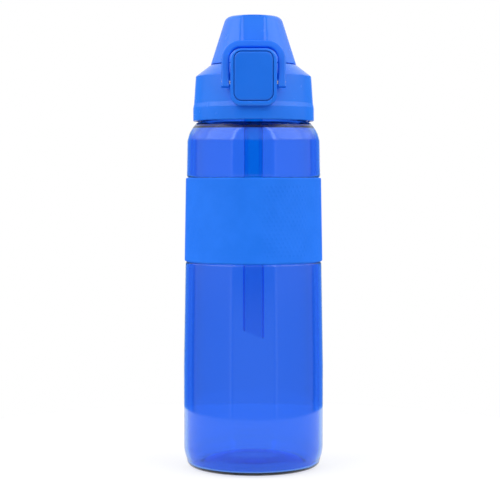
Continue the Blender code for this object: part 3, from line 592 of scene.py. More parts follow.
STEEL = metal("steel", (0.62, 0.62, 0.64), 0.18, 0.32)


# ---- bottle ----
def body_radius(height):
    if height <= STRAIGHT_H:
        return BODY_R
    return BODY_R + (BODY_TOP_R - BODY_R) * (height - STRAIGHT_H) / (BODY_H - STRAIGHT_H)


def plain_wall(low, high, steps, set_in=0):
    """Even mesh rows of the body's wall between two heights."""
    heights = [low + (high - low) * k / steps for k in range(steps + 1)]
    return [(body_radius(height) - set_in, height) for height in heights]


def shoulder_curve(set_in, steps):
    """Shallow convex curve from the body to the neck, set in square to its slope."""
    run, rise = BODY_TOP_R - SHOULDER_R, SHOULDER_Z - BODY_H
    slant = math.hypot(run, rise)
    points = []
    for k in range(1, steps + 1):
        share = k / steps
        swell = SHOULDER_BULGE * 4 * share * (1 - share)
        outward = (swell - set_in) / slant
        points.append((BODY_TOP_R - run * share + outward * rise, BODY_H + rise * share + outward * run))
    return points


def rows(radius, low, high):
    """Rows of a straight wall that is to carry a thread."""
    count = round((high - low) / THREAD_STEP)
    return [(radius, low + (high - low) * k / count) for k in range(count + 1)]


def add_thread(shape, radius, side, start_z, turns):
    """Push the rows of a wall out (side 1) or in (side -1) along a right-handed helix."""
    for corner in shape.verts:
        reach = math.hypot(corner.co.x, corner.co.y)
        if abs(reach - radius) > 1e-6:
            continue
        share = math.atan2(corner.co.y, corner.co.x) % math.tau / math.tau
        rise = 0
        for turn in range(math.ceil(turns)):
            along = share + turn
            if along > turns:
                continue
            fade = smooth_step(min(along, turns - along) * 12)
            away = abs(corner.co.z - start_z - PITCH * along)
            flank = (RIDGE_ROOT / 2 - away) / (RIDGE_ROOT / 2 - RIDGE_CREST / 2)
            rise = max(rise, RIDGE_H * fade * smooth_step(flank))
        corner.co.x *= 1 + side * rise / reach
        corner.co.y *= 1 + side * rise / reach


def punt_curve(radius, lift):
    """The arched floor, from its middle out to a radius."""
    shares = [k / PUNT_STEPS for k in range(PUNT_STEPS + 1)]
    return [(radius * share, lift + PUNT_H * (1 - share ** 4)) for share in shares]


def foot_curve(set_in):
    """The wall from the base's corner up to its straight part."""
    shares = [k / BASE_STEPS for k in range(1, BASE_STEPS + 1)]
    rise = BASE_CURVE_H - BASE_CORNER
    return [(BODY_R - BASE_TUCK * (1 - share) ** 2 - set_in, BASE_CORNER + rise * share) for share in shares]


def seat_lip(height, side):
    """The rounded step at the lower (side -1) or upper end of the sleeve's seat, from the wall inwards."""
    points = []
    for k in range(LIP_STEPS + 1):
        angle = math.radians(90 * k / LIP_STEPS)
        drop = SEAT_DEPTH * (1 - math.cos(angle))
        points.append((body_radius(height) - drop, height + side * SEAT_LIP * (1 - math.sin(angle))))
    return points


def make_bottle():
    ring_out = BODY_R - BASE_TUCK - BASE_CORNER
    ring_in = ring_out - RING_W
    outside = punt_curve(ring_in, 0)
    outside += arc((ring_out, BASE_CORNER), BASE_CORNER, -90, 0, 8)
    outside += foot_curve(0)
    low, top = SLEEVE_Z - FIT, SLEEVE_TOP + FIT
    outside += plain_wall(BASE_CURVE_H + 0.008, STRAIGHT_H - 0.005, 3)
    outside += plain_wall(STRAIGHT_H, STRAIGHT_H + 0.048, 6)
    outside += seat_lip(low, -1)
    outside += reversed(seat_lip(top, 1))
    outside += rounded([
        (body_radius(BODY_H - 0.012), BODY_H - 0.012, 0),
        (BODY_TOP_R, BODY_H, 0.0065),
        shoulder_curve(0, 3)[0] + (0,),
    ], 8)
    outside += shoulder_curve(0, 12)[5:-1]
    outside += rounded([
        shoulder_curve(0, 12)[-2] + (0,),
        (SHOULDER_R, SHOULDER_Z, 0.0008),
        (NECK_R, SHOULDER_Z + NECK_COVE, 0.0008),
        (NECK_R, SHOULDER_Z + 3 * NECK_COVE, 0),
    ], 5)[1:-1]
    outside += rows(NECK_R, SHOULDER_Z + 1.6 * NECK_COVE, RIM_Z - 0.0008)
    inner_neck = NECK_R - NECK_WALL
    outside += rounded([
        (NECK_R, RIM_Z - 0.0016, 0), (NECK_R, RIM_Z, 0.0007), (inner_neck, RIM_Z, 0.0007),
        (inner_neck, RIM_Z - 0.0016, 0),
    ], 5)[1:]
    inside = rounded([
        (inner_neck, RIM_Z - 0.003, 0), (inner_neck, SHOULDER_Z, 0.003), shoulder_curve(WALL, 4)[2] + (0,),
    ], 6)
    inside += reversed(shoulder_curve(WALL, 12)[3:8])
    inside += rounded([
        shoulder_curve(WALL, 12)[2] + (0,),
        (BODY_TOP_R - WALL, BODY_H, 0.006),
        (body_radius(BODY_H - 0.010) - WALL, BODY_H - 0.010, 0),
    ], 8)[1:]
    inside += plain_wall(BODY_H - 0.017, STRAIGHT_H, 7, WALL)
    inside += plain_wall(STRAIGHT_H - 0.010, STRAIGHT_H - 0.030, 2, WALL)
    inside += reversed(foot_curve(WALL))
    inside += arc((ring_out, BASE_CORNER), BASE_CORNER - WALL, 0, -90, 8)
    inside += reversed(punt_curve(ring_in, WALL))
    shape = lathe(outside + inside)
    add_thread(shape, NECK_R, 1, NECK_THREAD_Z, NECK_TURNS)
    show(shape, "bottle", CLEAR_TINT, "bottle", ["bottle_body"], 60)


def dot_height(around, up):
    """Height of the grip pattern: small raised dots in rows that lean by 60 degrees."""
    row_step = DOT_PITCH * math.sqrt(3) / 2
    row = round(up / row_step)
    across = around - (row % 2) * DOT_PITCH / 2
    nearest = round(across / DOT_PITCH) * DOT_PITCH
    away = math.hypot(across - nearest, up - row * row_step)
    return DOT_H * smooth_step(1.4 * (1 - away / DOT_R))


def make_sleeve():
    def seat(height):
        return body_radius(height) - SEAT_DEPTH + SLEEVE_GAP

    skin = SLEEVE_T - DOT_H
    low_r, top_r = SLEEVE_LOW_ROUND, SLEEVE_TOP_ROUND
    first, last = SLEEVE_Z + low_r + 0.0004, SLEEVE_TOP - top_r - 0.0004
    outline = arc((seat(SLEEVE_Z) + skin - low_r, SLEEVE_Z + low_r + 0.0001), low_r, -80, -10, 5)
    for k in range(SLEEVE_ROWS + 1):
        height = first + (last - first) * k / SLEEVE_ROWS
        outline.append((seat(height) + skin, height))
    outline += arc((seat(SLEEVE_TOP) + skin - top_r, SLEEVE_TOP - top_r - 0.0001), top_r, 10, 80, 5)
    outline += [(seat(SLEEVE_TOP), SLEEVE_TOP), (seat(SLEEVE_Z), SLEEVE_Z)]
    fine, coarse = [], []
    span = 2 * PATCH_HALF_DEG
    for patch in (PATCH_DEG, PATCH_DEG + 180):
        fine += [patch - PATCH_HALF_DEG + FINE_DEG * k for k in range(round(span / FINE_DEG) + 1)]
        gap_start = patch + PATCH_HALF_DEG
        coarse += [gap_start + COARSE_DEG * k for k in range(1, round((180 - span) / COARSE_DEG))]
    degrees = sorted({round(d % 360, 3) for d in fine + coarse})
    shape = bmesh.new()
    rings = []
    for radius, height in outline:
        ring = []
        for degree in degrees:
            angle = math.radians(degree)
            off = min(abs((degree - p + 180) % 360 - 180) for p in (PATCH_DEG, PATCH_DEG + 180))
            reach = radius
            if SLEEVE_Z + PLAIN_EDGE < height < SLEEVE_TOP - PLAIN_EDGE:
                fade = smooth_step((PATCH_HALF_DEG - off) / PATCH_FADE_DEG)
                reach += fade * dot_height(angle * BODY_R, height - SLEEVE_Z)
            ring.append(shape.verts.new((reach * math.cos(angle), reach * math.sin(angle), height)))
        rings.append(ring)
    join(shape, rings + rings[:1])
    show(shape, "sleeve", SLEEVE_BLUE, "bottle", ["grip_sleeve"], 50)


# ---- lid ----
def framed(width, low, high, corner, stations):
    """Loft of a rounded rectangle along Y. A station is (y, how much larger the outline is all round)."""
    rings = []
    for y, grow in stations:
        outline = rounded_rectangle(width + 2 * grow, low - grow, high + grow, corner + grow)
        rings.append([(u, y, v) for u, v in outline])
    return loft(rings)


def edge_stations(front, back, edge, grow_side, steps=5):
    """Stations whose front edge is rounded: in for a block (grow_side -1), out for a hole (1)."""
    stations = []
    for k in range(steps + 1):
        angle = math.radians(90 * k / steps)
        stations.append((-front + edge * (1 - math.cos(angle)), grow_side * edge * (1 - math.sin(angle))))
    return stations + [(-back, 0)]


def make_shell():
    skirt = rounded([
        (0, LID_Z, 0), (SHELL_R, LID_Z, 0.0006), (SHELL_R, LID_Z + SHELL_STEP_H - STEP_DOWN, STEP_ROUND),
        (SHELL_R - SHELL_STEP, LID_Z + SHELL_STEP_H + STEP_UP, STEP_ROUND),
        (SHELL_TOP_R, CHAMFER_Z, 0.0010), (DECK_R, DECK_Z, 0.0008), (0, DECK_Z, 0),
    ], 6)
    shell = to_object(lathe(skirt), "shell")
    housing = framed(
        HOUSING_W, HOUSING_Z, HOUSING_TOP, HOUSING_CORNER,
        edge_stations(HOUSING_FRONT, HOUSING_FRONT - HOUSING_DEPTH, HOUSING_EDGE, -1))
    added = [housing]
    for side in (-1, 1):
        inner = SPRING_HALF + KNUCKLE_W + 2 * FIT
        ends = sorted((side * inner, side * (inner + EAR_W)))
        outline = arc((HINGE_Y, HINGE_Z), KNUCKLE_R, 0, 180, 24)
        outline += [
            (HINGE_Y - KNUCKLE_R, DECK_Z - 2 * DECK_T), (HINGE_Y + KNUCKLE_R / 2, CHAMFER_Z - SHELL_WALL)]
        added.append(bevelled(prism(outline, "X", *ends), 0.0003, 2, 50))
    combine(shell, added, "UNION")

    pocket = framed(
        BUTTON_W + 2 * POCKET_SLACK, BUTTON_LOW - POCKET_SLACK, BUTTON_TOP + POCKET_SLACK,
        BUTTON_CORNER + POCKET_SLACK,
        [(-HOUSING_FRONT - OVERSHOOT, POCKET_LIP)] + edge_stations(HOUSING_FRONT, POCKET_BACK, POCKET_LIP, 1))
    deep = rounded_rectangle(
        BUTTON_W - 2 * BUTTON_CORNER, BUTTON_TOP - SPRING_ROOM_H, BUTTON_TOP - SHELL_WALL, BUTTON_CORNER / 3)
    run = SHELL_TOP_R - DECK_R
    rise = DECK_Z - CHAMFER_Z
    slant = math.hypot(run, rise)
    low = CHAMFER_Z - SHELL_WALL * (slant - run) / rise
    reach = DECK_R - SHELL_WALL * (slant - rise) / run
    under = DECK_Z - DECK_T
    hole = STUB_R + FIT
    space = rounded([
        (0, LID_Z - FIT, 0), (SHELL_BORE_R, LID_Z - FIT, 0), (SHELL_BORE_R, low - SHELL_WALL / 2, 0.001),
        (reach - SHELL_WALL, under, 0.001), (hole, under, 0.0002), (hole, DECK_Z + FIT, 0),
        (0, DECK_Z + FIT, 0),
    ], 3)
    pin_reach = SPRING_HALF + KNUCKLE_W + EAR_W + OVERSHOOT
    bail_reach = HOUSING_W / 2 + OVERSHOOT
    combine(shell, [
        lathe(space),
        pocket,
        prism(deep, "Y", -POCKET_BACK - FIT, -POCKET_DEEP),
        slab((-SLIDE_W / 2 - FIT, -POCKET_BACK - FIT, SLIDE_Z - FIT),
             (SLIDE_W / 2 + FIT, -WINDOW_FRONT - SHELL_WALL, SLIDE_Z + SLIDE_T + FIT)),
        slab((-TONGUE_W / 2 - 2 * FIT, -TONGUE_FRONT - TONGUE_PLAY, under - DECK_T),
             (TONGUE_W / 2 + 2 * FIT, -WINDOW_BACK, DECK_Z + DECK_T)),
        prism(circle((HINGE_Y, HINGE_Z), PIN_R + RUN), "X", -pin_reach, pin_reach),
        prism(circle((0, VENT_Y), VENT_R + FIT), "Z", under - DECK_T, DECK_Z + DECK_T),
        prism(circle((-BAIL_PIVOT_Y, BAIL_PIVOT_Z), BAIL_PIN_R + RUN), "X", -bail_reach, bail_reach),
    ], "DIFFERENCE")
    show(shell, "lid_cover", LID_BLUE, "lid", ["lid_shell"])


def make_liner():
    bore = LINER_R - LINER_WALL
    low = LID_Z + LINER_SETBACK
    outline = rows(bore, low + 0.0004, PLATE_Z - 0.0006)
    outline += rounded([
        (bore, PLATE_Z - 0.0012, 0), (bore, PLATE_Z, 0.0004), (STUB_BORE_R, PLATE_Z, 0.0003),
        (STUB_BORE_R, STUB_TOP, 0.0003), (STUB_R, STUB_TOP, 0.0006), (STUB_R, PLATE_TOP, 0.0006),
        (LINER_R, PLATE_TOP, 0.0008), (LINER_R, low, 0.0003), (bore, low, 0.0003), (bore, low + 0.0012, 0),
    ], 4)[1:-1]
    shape = lathe(outline)
    add_thread(shape, bore, -1, LINER_THREAD_Z, LINER_TURNS)
    liner = to_object(shape, "liner")
    stub = lathe(rounded([
        (0, PLATE_TOP - 0.0009, 0), (VENT_R, PLATE_TOP - 0.0009, 0), (VENT_R, DECK_Z - FIT, 0.0003),
        (0, DECK_Z - FIT, 0),
    ], 3), 48, (0, VENT_Y))
    combine(liner, [stub], "UNION")
    vent = prism(circle((0, VENT_Y), VENT_BORE_R), "Z", PLATE_Z - OVERSHOOT, DECK_Z + OVERSHOOT)
    combine(liner, [vent], "DIFFERENCE")
    show(liner, "inner_lid", LINER_BLUE_PAINTED_LIGHT, "lid", ["lid_liner"])


def make_mouthpiece():
    over = STUB_TOP + FIT
    outline = rounded([
        (STUB_R + FIT, MOUTH_LOW, 0), (MOUTH_BASE_R, MOUTH_LOW, 0.0002),
        (MOUTH_BASE_R, MOUTH_LOW + 0.0012, 0.0005), (NOZZLE_FOOT_R, MOUTH_LOW + 0.0014, 0.0006),
        (NOZZLE_FOOT_R, over - 0.0004, 0.0012), (NOZZLE_SHOULDER_R, over + 0.0024, 0.0012),
        (NOZZLE_TOP_R, over + 0.0052, 0.0020), (NOZZLE_NECK_R, MOUTH_TOP - 0.0046, 0.0020),
        (NOZZLE_LIP_R, MOUTH_TOP - 0.0024, 0.0008), (NOZZLE_TOP_R, MOUTH_TOP, 0.0011),
        (NOZZLE_BORE_R, MOUTH_TOP, 0.0008), (NOZZLE_BORE_R, over + 0.0015, 0.0004),
        (STUB_R + FIT, over, 0.0003),
    ], 6)
    show(lathe(outline, 128), "drinking_nozzle", SILICONE, "lid", ["mouthpiece"])


def make_small_seals():
    inner, outer = NECK_R - NECK_WALL, LINER_R - LINER_WALL - FIT
    low, top = RIM_Z + FIT, RIM_Z + FIT + SEAL_T
    edge = 0.0004
    ring = rounded([(inner, low, edge), (outer, low, edge), (outer, top, edge), (inner, top, edge)], 4)
    show(lathe(ring), "rim_seal", SILICONE, "seal", ["neck_seal"])
    stem = VENT_BORE_R - FIT
    valve = rounded([
        (0, PLATE_TOP, 0), (stem, PLATE_TOP, 0.0004), (stem, DECK_Z, 0.0002), (VENT_R, DECK_Z, 0.0001),
        (VENT_R - 0.0006, DECK_Z + 0.0007, 0.0004), (0, DECK_Z + 0.0011, 0),
    ], 4)
    show(lathe(valve, 64, (0, VENT_Y)), "air_valve", SILICONE, "lid", ["vent_valve"])
    plug = rounded([
        (0, PLUG_Z, 0), (PLUG_R, PLUG_Z, 0.0004), (PLUG_R, PLUG_Z + PLUG_T, 0.0004),
        (PLUG_STEM_R, PLUG_Z + PLUG_T, 0.0003), (PLUG_STEM_R, CAP_ROOF - FIT, 0), (0, CAP_ROOF - FIT, 0),
    ], 4)
    show(lathe(plug, 96), "spout_plug", SILICONE, "cap", ["cap_seal"])


# ---- flip cap ----
def channel_floor(height):
    share = (height - CAP_Z) / (CAP_TOP - CAP_Z)
    return CHANNEL_LOW_Y + (CHANNEL_HIGH_Y - CHANNEL_LOW_Y) * share


def cone_radius(height, set_in=0.0):
    share = (height - CAP_Z) / (CAP_TOP - CAP_Z)
    return CAP_R + (CAP_TOP_R - CAP_R) * share - set_in


def cap_ring(radius, height, half_width, behind, rounding):
    """One level of the cap: a circle whose front is cut back to the channel's floor."""
    floor = channel_floor(height) - behind
    ring = []
    for k in range(FRONT_STEPS + 1):
        x = -FRONT_HALF + 2 * FRONT_HALF * k / FRONT_STEPS
        round_y = math.sqrt(radius ** 2 - x ** 2)
        share = math.sin(math.pi / 2 * min(1.0, max(0.0, (abs(x) - half_width) / rounding)))
        ring.append((x, -(round_y * share + min(round_y, floor) * (1 - share)), height))
    start = math.asin(FRONT_HALF / radius) - math.pi / 2
    sweep = math.tau - 2 * math.asin(FRONT_HALF / radius)
    for k in range(1, ROUND_STEPS):
        angle = start + sweep * k / ROUND_STEPS
        ring.append((radius * math.cos(angle), radius * math.sin(angle), height))
    return ring


def make_cap():
    lean = math.degrees(math.atan2(CAP_R - CAP_TOP_R, CAP_TOP - CAP_Z))
    setback = CAP_FILLET * math.tan(math.radians(45 - lean / 2))
    flat_r = CAP_TOP_R - setback
    levels = [(CAP_R - 0.0004, CAP_Z), (CAP_R - 0.0001, CAP_Z + 0.0002)]
    cone_top = CAP_TOP - CAP_FILLET * (1 - math.sin(math.radians(lean)))
    for k in range(24):
        height = CAP_Z + 0.0005 + (cone_top - CAP_Z - 0.0005) * k / 24
        levels.append((cone_radius(height), height))
    levels += arc((flat_r, CAP_TOP - CAP_FILLET), CAP_FILLET, lean, 90, 12)
    shape = bmesh.new()
    rings = []
    for radius, height in levels:
        rings.append(ring_of(shape, cap_ring(radius, height, CHANNEL_W / 2, 0, SHOULDER_ROUND)))
    top = [v.co.copy() for v in rings[-1]]
    for share in (0.93, 0.6, 0.3):
        rings.append(ring_of(shape, [(p.x * share, p.y * share, CAP_TOP) for p in top]))
    rings.append([shape.verts.new((0, 0, CAP_TOP))])
    high = CAP_ROOF - CAP_FILLET / 2
    inner = [(cone_radius(CAP_ROOF, CAP_WALL + CAP_FILLET / 2), CAP_ROOF)]
    inner.append((cone_radius(high, CAP_WALL + 0.0006), high + 0.0007))
    for k in range(13):
        height = high - (high - CAP_Z) * k / 12
        inner.append((cone_radius(height, CAP_WALL), height))
    inner_rings = []
    inner_half = CHANNEL_W / 2 + CHANNEL_INNER_ROUND
    for radius, height in inner:
        inner_rings.append(ring_of(
            shape, cap_ring(radius, height, inner_half, CHANNEL_WALL, CHANNEL_INNER_ROUND)))
    roof = [v.co.copy() for v in inner_rings[0]]
    centre = [shape.verts.new((0, 0, CAP_ROOF))]
    middle = ring_of(shape, [(p.x * 0.6, p.y * 0.6, CAP_ROOF) for p in roof])
    join(shape, rings)
    join(shape, [centre, middle] + inner_rings + rings[:1])
    cap = to_object(shape, "cap")

    added = []
    for side in (-1, 1):
        inner_x = SPRING_HALF + FIT
        ends = sorted((side * inner_x, side * (inner_x + KNUCKLE_W)))
        outline = arc((HINGE_Y, HINGE_Z), KNUCKLE_R, -90, 90, 20)
        wall_y = CAP_R - CAP_WALL - 2 * FIT
        outline += [(wall_y, HINGE_Z + KNUCKLE_R), (wall_y, CAP_Z + FIT)]
        outline += arc((HINGE_Y, HINGE_Z), KNUCKLE_R, 180, 235, 6)
        added.append(bevelled(prism(outline, "X", *ends), 0.0003, 2, 50))
    nib_y = -TONGUE_BACK + TONGUE_NIB
    tongue = [
        (-TONGUE_FRONT, TONGUE_LOW), (nib_y, TONGUE_LOW), (nib_y, SLIDE_Z - FIT), (-TONGUE_BACK, SLIDE_Z),
        (-TONGUE_BACK, CAP_Z + 0.0012), (-TONGUE_FRONT, CAP_Z + 0.0012),
    ]
    added.append(bevelled(prism(tongue, "X", -TONGUE_W / 2, TONGUE_W / 2), 0.0002, 2, 50))
    ring_low = PLUG_Z + PLUG_T + FIT
    ring_in = PLUG_STEM_R + FIT
    ring_out = ring_in + 0.0015
    added.append(lathe(rounded([
        (ring_in, ring_low, 0.0003), (ring_out, ring_low, 0.0003), (ring_out, CAP_ROOF + FIT, 0),
        (ring_in, CAP_ROOF + FIT, 0),
    ], 3), 64))
    combine(cap, added, "UNION")
    reach = SPRING_HALF + KNUCKLE_W + OVERSHOOT
    combine(cap, [prism(circle((HINGE_Y, HINGE_Z), PIN_R + RUN), "X", -reach, reach)], "DIFFERENCE")
    show(cap, "cap", LID_BLUE, "cap", ["flip_cap"], 35)


# ---- button, slide and bail ----
def make_button():
    stations = [(-BUTTON_BACK, -0.0002), (-BUTTON_BACK - 0.0002, 0)]
    steps = 6
    for k in range(steps + 1):
        angle = math.radians(90 * k / steps)
        stations.append((
            -BUTTON_FRONT + BUTTON_CROWN + BUTTON_EDGE * (1 - math.sin(angle)),
            -BUTTON_EDGE_W * (1 - math.cos(angle))))
    shape = bmesh.new()
    made = []
    for y, grow in stations:
        outline = rounded_rectangle(
            BUTTON_W + 2 * grow, BUTTON_LOW - grow, BUTTON_TOP + grow, BUTTON_CORNER + grow)
        made.append(ring_of(shape, [(u, y, v) for u, v in outline]))
    middle = (BUTTON_LOW + BUTTON_TOP) / 2
    edge = [v.co.copy() for v in made[-1]]
    for share in (0.97, 0.85, 0.65, 0.4, 0.2):
        y = -BUTTON_FRONT + BUTTON_CROWN * share ** 2
        made.append(ring_of(shape, [(p.x * share, y, middle + (p.z - middle) * share) for p in edge]))
    made.append([shape.verts.new((0, -BUTTON_FRONT, middle))])
    join(shape, made)
    shape.faces.new(made[0])
    button = to_object(shape, "button")
    socket = slab(
        (-SLIDE_W / 2 - FIT, -SLIDE_FRONT - FIT, SLIDE_Z - FIT),
        (SLIDE_W / 2 + FIT, -BUTTON_BACK + FIT, SLIDE_Z + SLIDE_T + FIT))
    combine(button, [socket], "DIFFERENCE")
    show(button, "button", TRIM_BLUE_PAINTED_SHADE, "button", ["push_button"])


def make_slide():
    plate = slab((-SLIDE_W / 2, -SLIDE_FRONT, SLIDE_Z), (SLIDE_W / 2, -SLIDE_BACK, SLIDE_Z + SLIDE_T))
    slide = to_object(plate, "slide")
    half = WINDOW_W / 2
    window = slab((-half, -WINDOW_FRONT, SLIDE_Z - SLIDE_T), (half, -WINDOW_BACK, SLIDE_Z + 2 * SLIDE_T))
    combine(slide, [window], "DIFFERENCE")
    modifier = slide.modifiers.new("edge", "BEVEL")
    modifier.width = 0.0002
    modifier.segments = 2
    settle(slide)
    show(slide, "slide", TRIM_BLUE_PAINTED_SHADE, "button", ["latch_slide"])


def bail_section(inner, outer):
    """Rounded section of the bail between a point on its inner and one on its outer line."""
    inner, outer = Vector((inner[0], 0, inner[1])), Vector((outer[0], 0, outer[1]))
    width = (outer - inner).length
    across = (outer - inner).normalized()
    middle = (inner + outer) / 2
    ring = []
    half = BAIL_T / 2 - BAIL_ROUND
    for u_side, v_side, start in ((1, 1, 0), (-1, 1, 90), (-1, -1, 180), (1, -1, 270)):
        centre = (u_side * (width / 2 - BAIL_ROUND), v_side * half)
        for u, v in arc(centre, BAIL_ROUND, start, start + 90, 5):
            point = middle + across * u
            ring.append(Vector((point.x, v - BAIL_PIVOT_Y, point.z)))
    return ring


def make_bail():
    inner_top = BAIL_PIVOT_Z + (HOUSING_TOP + BAIL_OVER - BAIL_PIVOT_Z) / math.cos(BAIL_LEAN)
    top = inner_top + BAIL_TOP_BAR
    foot = BAIL_PIVOT_Z - BAIL_FOOT
    inner_corner = BAIL_CORNER - BAIL_BAR
    right = []
    leg_top = top - BAIL_CORNER
    for k in range(9):
        height = foot + (leg_top - foot) * k / 8
        right.append(((BAIL_IN, height), (BAIL_OUT, height)))
    steps = 14
    inner = arc((BAIL_IN - inner_corner, inner_top - inner_corner), inner_corner, 0, 90, steps)
    outer = arc((BAIL_OUT - BAIL_CORNER, top - BAIL_CORNER), BAIL_CORNER, 0, 90, steps)
    right += list(zip(inner, outer))
    left = [((-a[0], a[1]), (-b[0], b[1])) for a, b in reversed(right)]
    shape = loft([bail_section(a, b) for a, b in right + left])
    bail = to_object(shape, "bail")
    half = BAIL_T / 2
    lip = bevelled(slab(
        (-BAIL_LIP_W / 2, -BAIL_PIVOT_Y + half - BAIL_ROUND, top - 2 * FIT - BAIL_LIP_T),
        (BAIL_LIP_W / 2, -BAIL_PIVOT_Y + half + BAIL_LIP_REACH, top - 2 * FIT)), 0.0005, 3)
    combine(bail, [lip], "UNION")
    reach = BAIL_OUT + OVERSHOOT
    bore = prism(circle((-BAIL_PIVOT_Y, BAIL_PIVOT_Z), BAIL_PIN_R + RUN), "X", -reach, reach)
    combine(bail, [bore], "DIFFERENCE")
    pivot = Vector((0, -BAIL_PIVOT_Y, BAIL_PIVOT_Z))
    turn = Matrix.Translation(pivot) @ Matrix.Rotation(-BAIL_LEAN, 4, "X") @ Matrix.Translation(-pivot)
    bail.data.transform(turn)
    show(bail, "bail", TRIM_BLUE_PAINTED_SHADE, "bail", ["lock_bail"])


def make_pin(name, node, body, radius):
    """A turned steel pin along X with rounded ends, where the CAD pin is."""
    low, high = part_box(node)
    middle = (low + high) / 2
    half = (high.x - low.x) / 2
    outline = rounded([(0, -half, 0), (radius, -half, 0.0003), (radius, half, 0.0003), (0, half, 0)], 4)
    shape = lathe(outline, 48)
    shape.transform(Matrix.Translation(middle) @ Matrix.Rotation(math.radians(90), 4, "Y"))
    show(shape, name, STEEL, body, [node])


# ---- springs and straw ----
def make_springs():
    radius = PIN_R + 0.0005 + HINGE_WIRE_R
    half = SPRING_HALF - HINGE_WIRE_R - FIT
    start_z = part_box("cap_spring")[0].z + HINGE_WIRE_R
    per_turn = 28
    steps = round(HINGE_TURNS * per_turn)
    coil = [(-half, HINGE_Y + radius, start_z), (-half, HINGE_Y + radius, (start_z + HINGE_Z) / 2)]
    for k in range(steps + 1):
        angle = math.tau * k / per_turn
        across = -half + 2 * half * k / steps
        coil.append((across, HINGE_Y + radius * math.cos(angle), HINGE_Z + radius * math.sin(angle)))
    show(tube(coil, HINGE_WIRE_R), "hinge_spring_coil", STEEL, "lid", ["cap_spring"])
    rest = CAP_R + HINGE_WIRE_R + FIT
    leg = [(half, HINGE_Y + (rest - HINGE_Y) * k / 6, HINGE_Z + radius) for k in range(7)]
    show(tube(leg, HINGE_WIRE_R), "hinge_spring_leg", STEEL, "cap", ["cap_spring"])

    low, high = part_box("button_spring")
    middle = (low + high) / 2
    coil_r = (high.x - low.x) / 2 - PRESS_WIRE_R
    front, back = low.y + PRESS_WIRE_R + PRESS_SHORTER, high.y - PRESS_WIRE_R
    per_turn = 32
    steps = PRESS_TURNS * per_turn
    points = []
    for k in range(steps + 1):
        angle = math.tau * k / per_turn
        along = front + (back - front) * k / steps
        points.append((coil_r * math.cos(angle), along, middle.z + coil_r * math.sin(angle)))
    show(tube(points, PRESS_WIRE_R), "press_spring", STEEL, "lid", ["button_spring"])


def make_straw():
    top = STUB_TOP - FIT
    flange_top = PLATE_Z - FIT
    flange_low = flange_top - FLANGE_T
    outline = rounded([
        (ADAPTOR_BORE_R, STRAW_TOP - SPIGOT_H, 0.0003), (SPIGOT_R, STRAW_TOP - SPIGOT_H, 0.0006),
        (SPIGOT_R, STRAW_TOP, 0.0003), (ADAPTOR_R, STRAW_TOP, 0.0004), (ADAPTOR_R, flange_low, 0.0006),
        (FLANGE_R, flange_low, 0.0003), (FLANGE_R, flange_top, 0.0003), (ADAPTOR_R, flange_top, 0.0001),
        (ADAPTOR_R, top, 0.0003), (ADAPTOR_BORE_R, top, 0.0003),
    ], 4)
    show(lathe(outline, 96), "straw_stem", STEM_TINT, "lid", ["straw_adaptor"])

    bore = SPIGOT_R + FIT
    count = 24
    top = STRAW_TOP - FIT
    outline = rounded([
        (bore, STRAW_END, 0.0003), (STRAW_R, STRAW_END, 0.0003), (STRAW_R, STRAW_END + 0.002, 0)], 3)[:-1]
    outline += [(STRAW_R, STRAW_END + (top - STRAW_END) * k / count) for k in range(1, count)]
    outline += rounded([
        (STRAW_R, STRAW_TOP - 0.002, 0), (STRAW_R, top, 0.0003), (bore, top, 0.0003),
        (bore, STRAW_TOP - 0.002, 0),
    ], 3)
    shape = lathe(outline, 96)
    for corner in shape.verts:
        if corner.co.z < STRAW_END + 0.001:
            corner.co.z += STRAW_SLANT * corner.co.x
    show(shape, "drinking_straw", STRAW_TINT, "lid", ["straw"])


# ---- stage, light and camera ----
def make_stage():
    """A round white table, small enough that the surroundings show beyond it in the clear wall."""
    low = TABLE_TOP - TABLE_T
    outline = rounded([(0, TABLE_TOP, 0), (TABLE_R, TABLE_TOP, 0.002), (TABLE_R, low, 0.002), (0, low, 0)], 4)
    floor = to_object(lathe(outline), "floor")
    material, _, shader = principled("floor_white", Roughness=0.9, Emission_Strength=0.66)
    shader.inputs["Base Color"].default_value = (0.3, 0.3, 0.3, 1)
    shader.inputs["Emission Color"].default_value = (1, 1, 1, 1)
    floor.data.materials.append(material)


def ramp(tree, value, low, high, stops):
    """A level that follows (value, level) stops. A level is grey or a colour."""
    node = tree.nodes.new("ShaderNodeMapRange")
    node.inputs["From Min"].default_value = low
    node.inputs["From Max"].default_value = high
    tree.links.new(value, node.inputs["Value"])
    colours = tree.nodes.new("ShaderNodeValToRGB")
    colours.color_ramp.interpolation = "EASE"
    elements = colours.color_ramp.elements
    while len(elements) < len(stops):
        elements.new(0.5)
    for element, (at, level) in zip(elements, stops):
        element.position = (at - low) / (high - low)
        element.color = (*level, 1) if isinstance(level, tuple) else (level, level, level, 1)
    tree.links.new(node.outputs["Result"], colours.inputs["Fac"])
    return colours.outputs["Color"]


def mirrored(stops):
    return [(-at, level) for at, level in reversed(stops)] + stops


def mixed(tree, factor, low, high):
    node = tree.nodes.new("ShaderNodeMix")
    node.data_type = "RGBA"
    tree.links.new(factor, node.inputs["Factor"])
    tree.links.new(low, node.inputs[6])
    tree.links.new(high, node.inputs[7])
    return node.outputs[2]


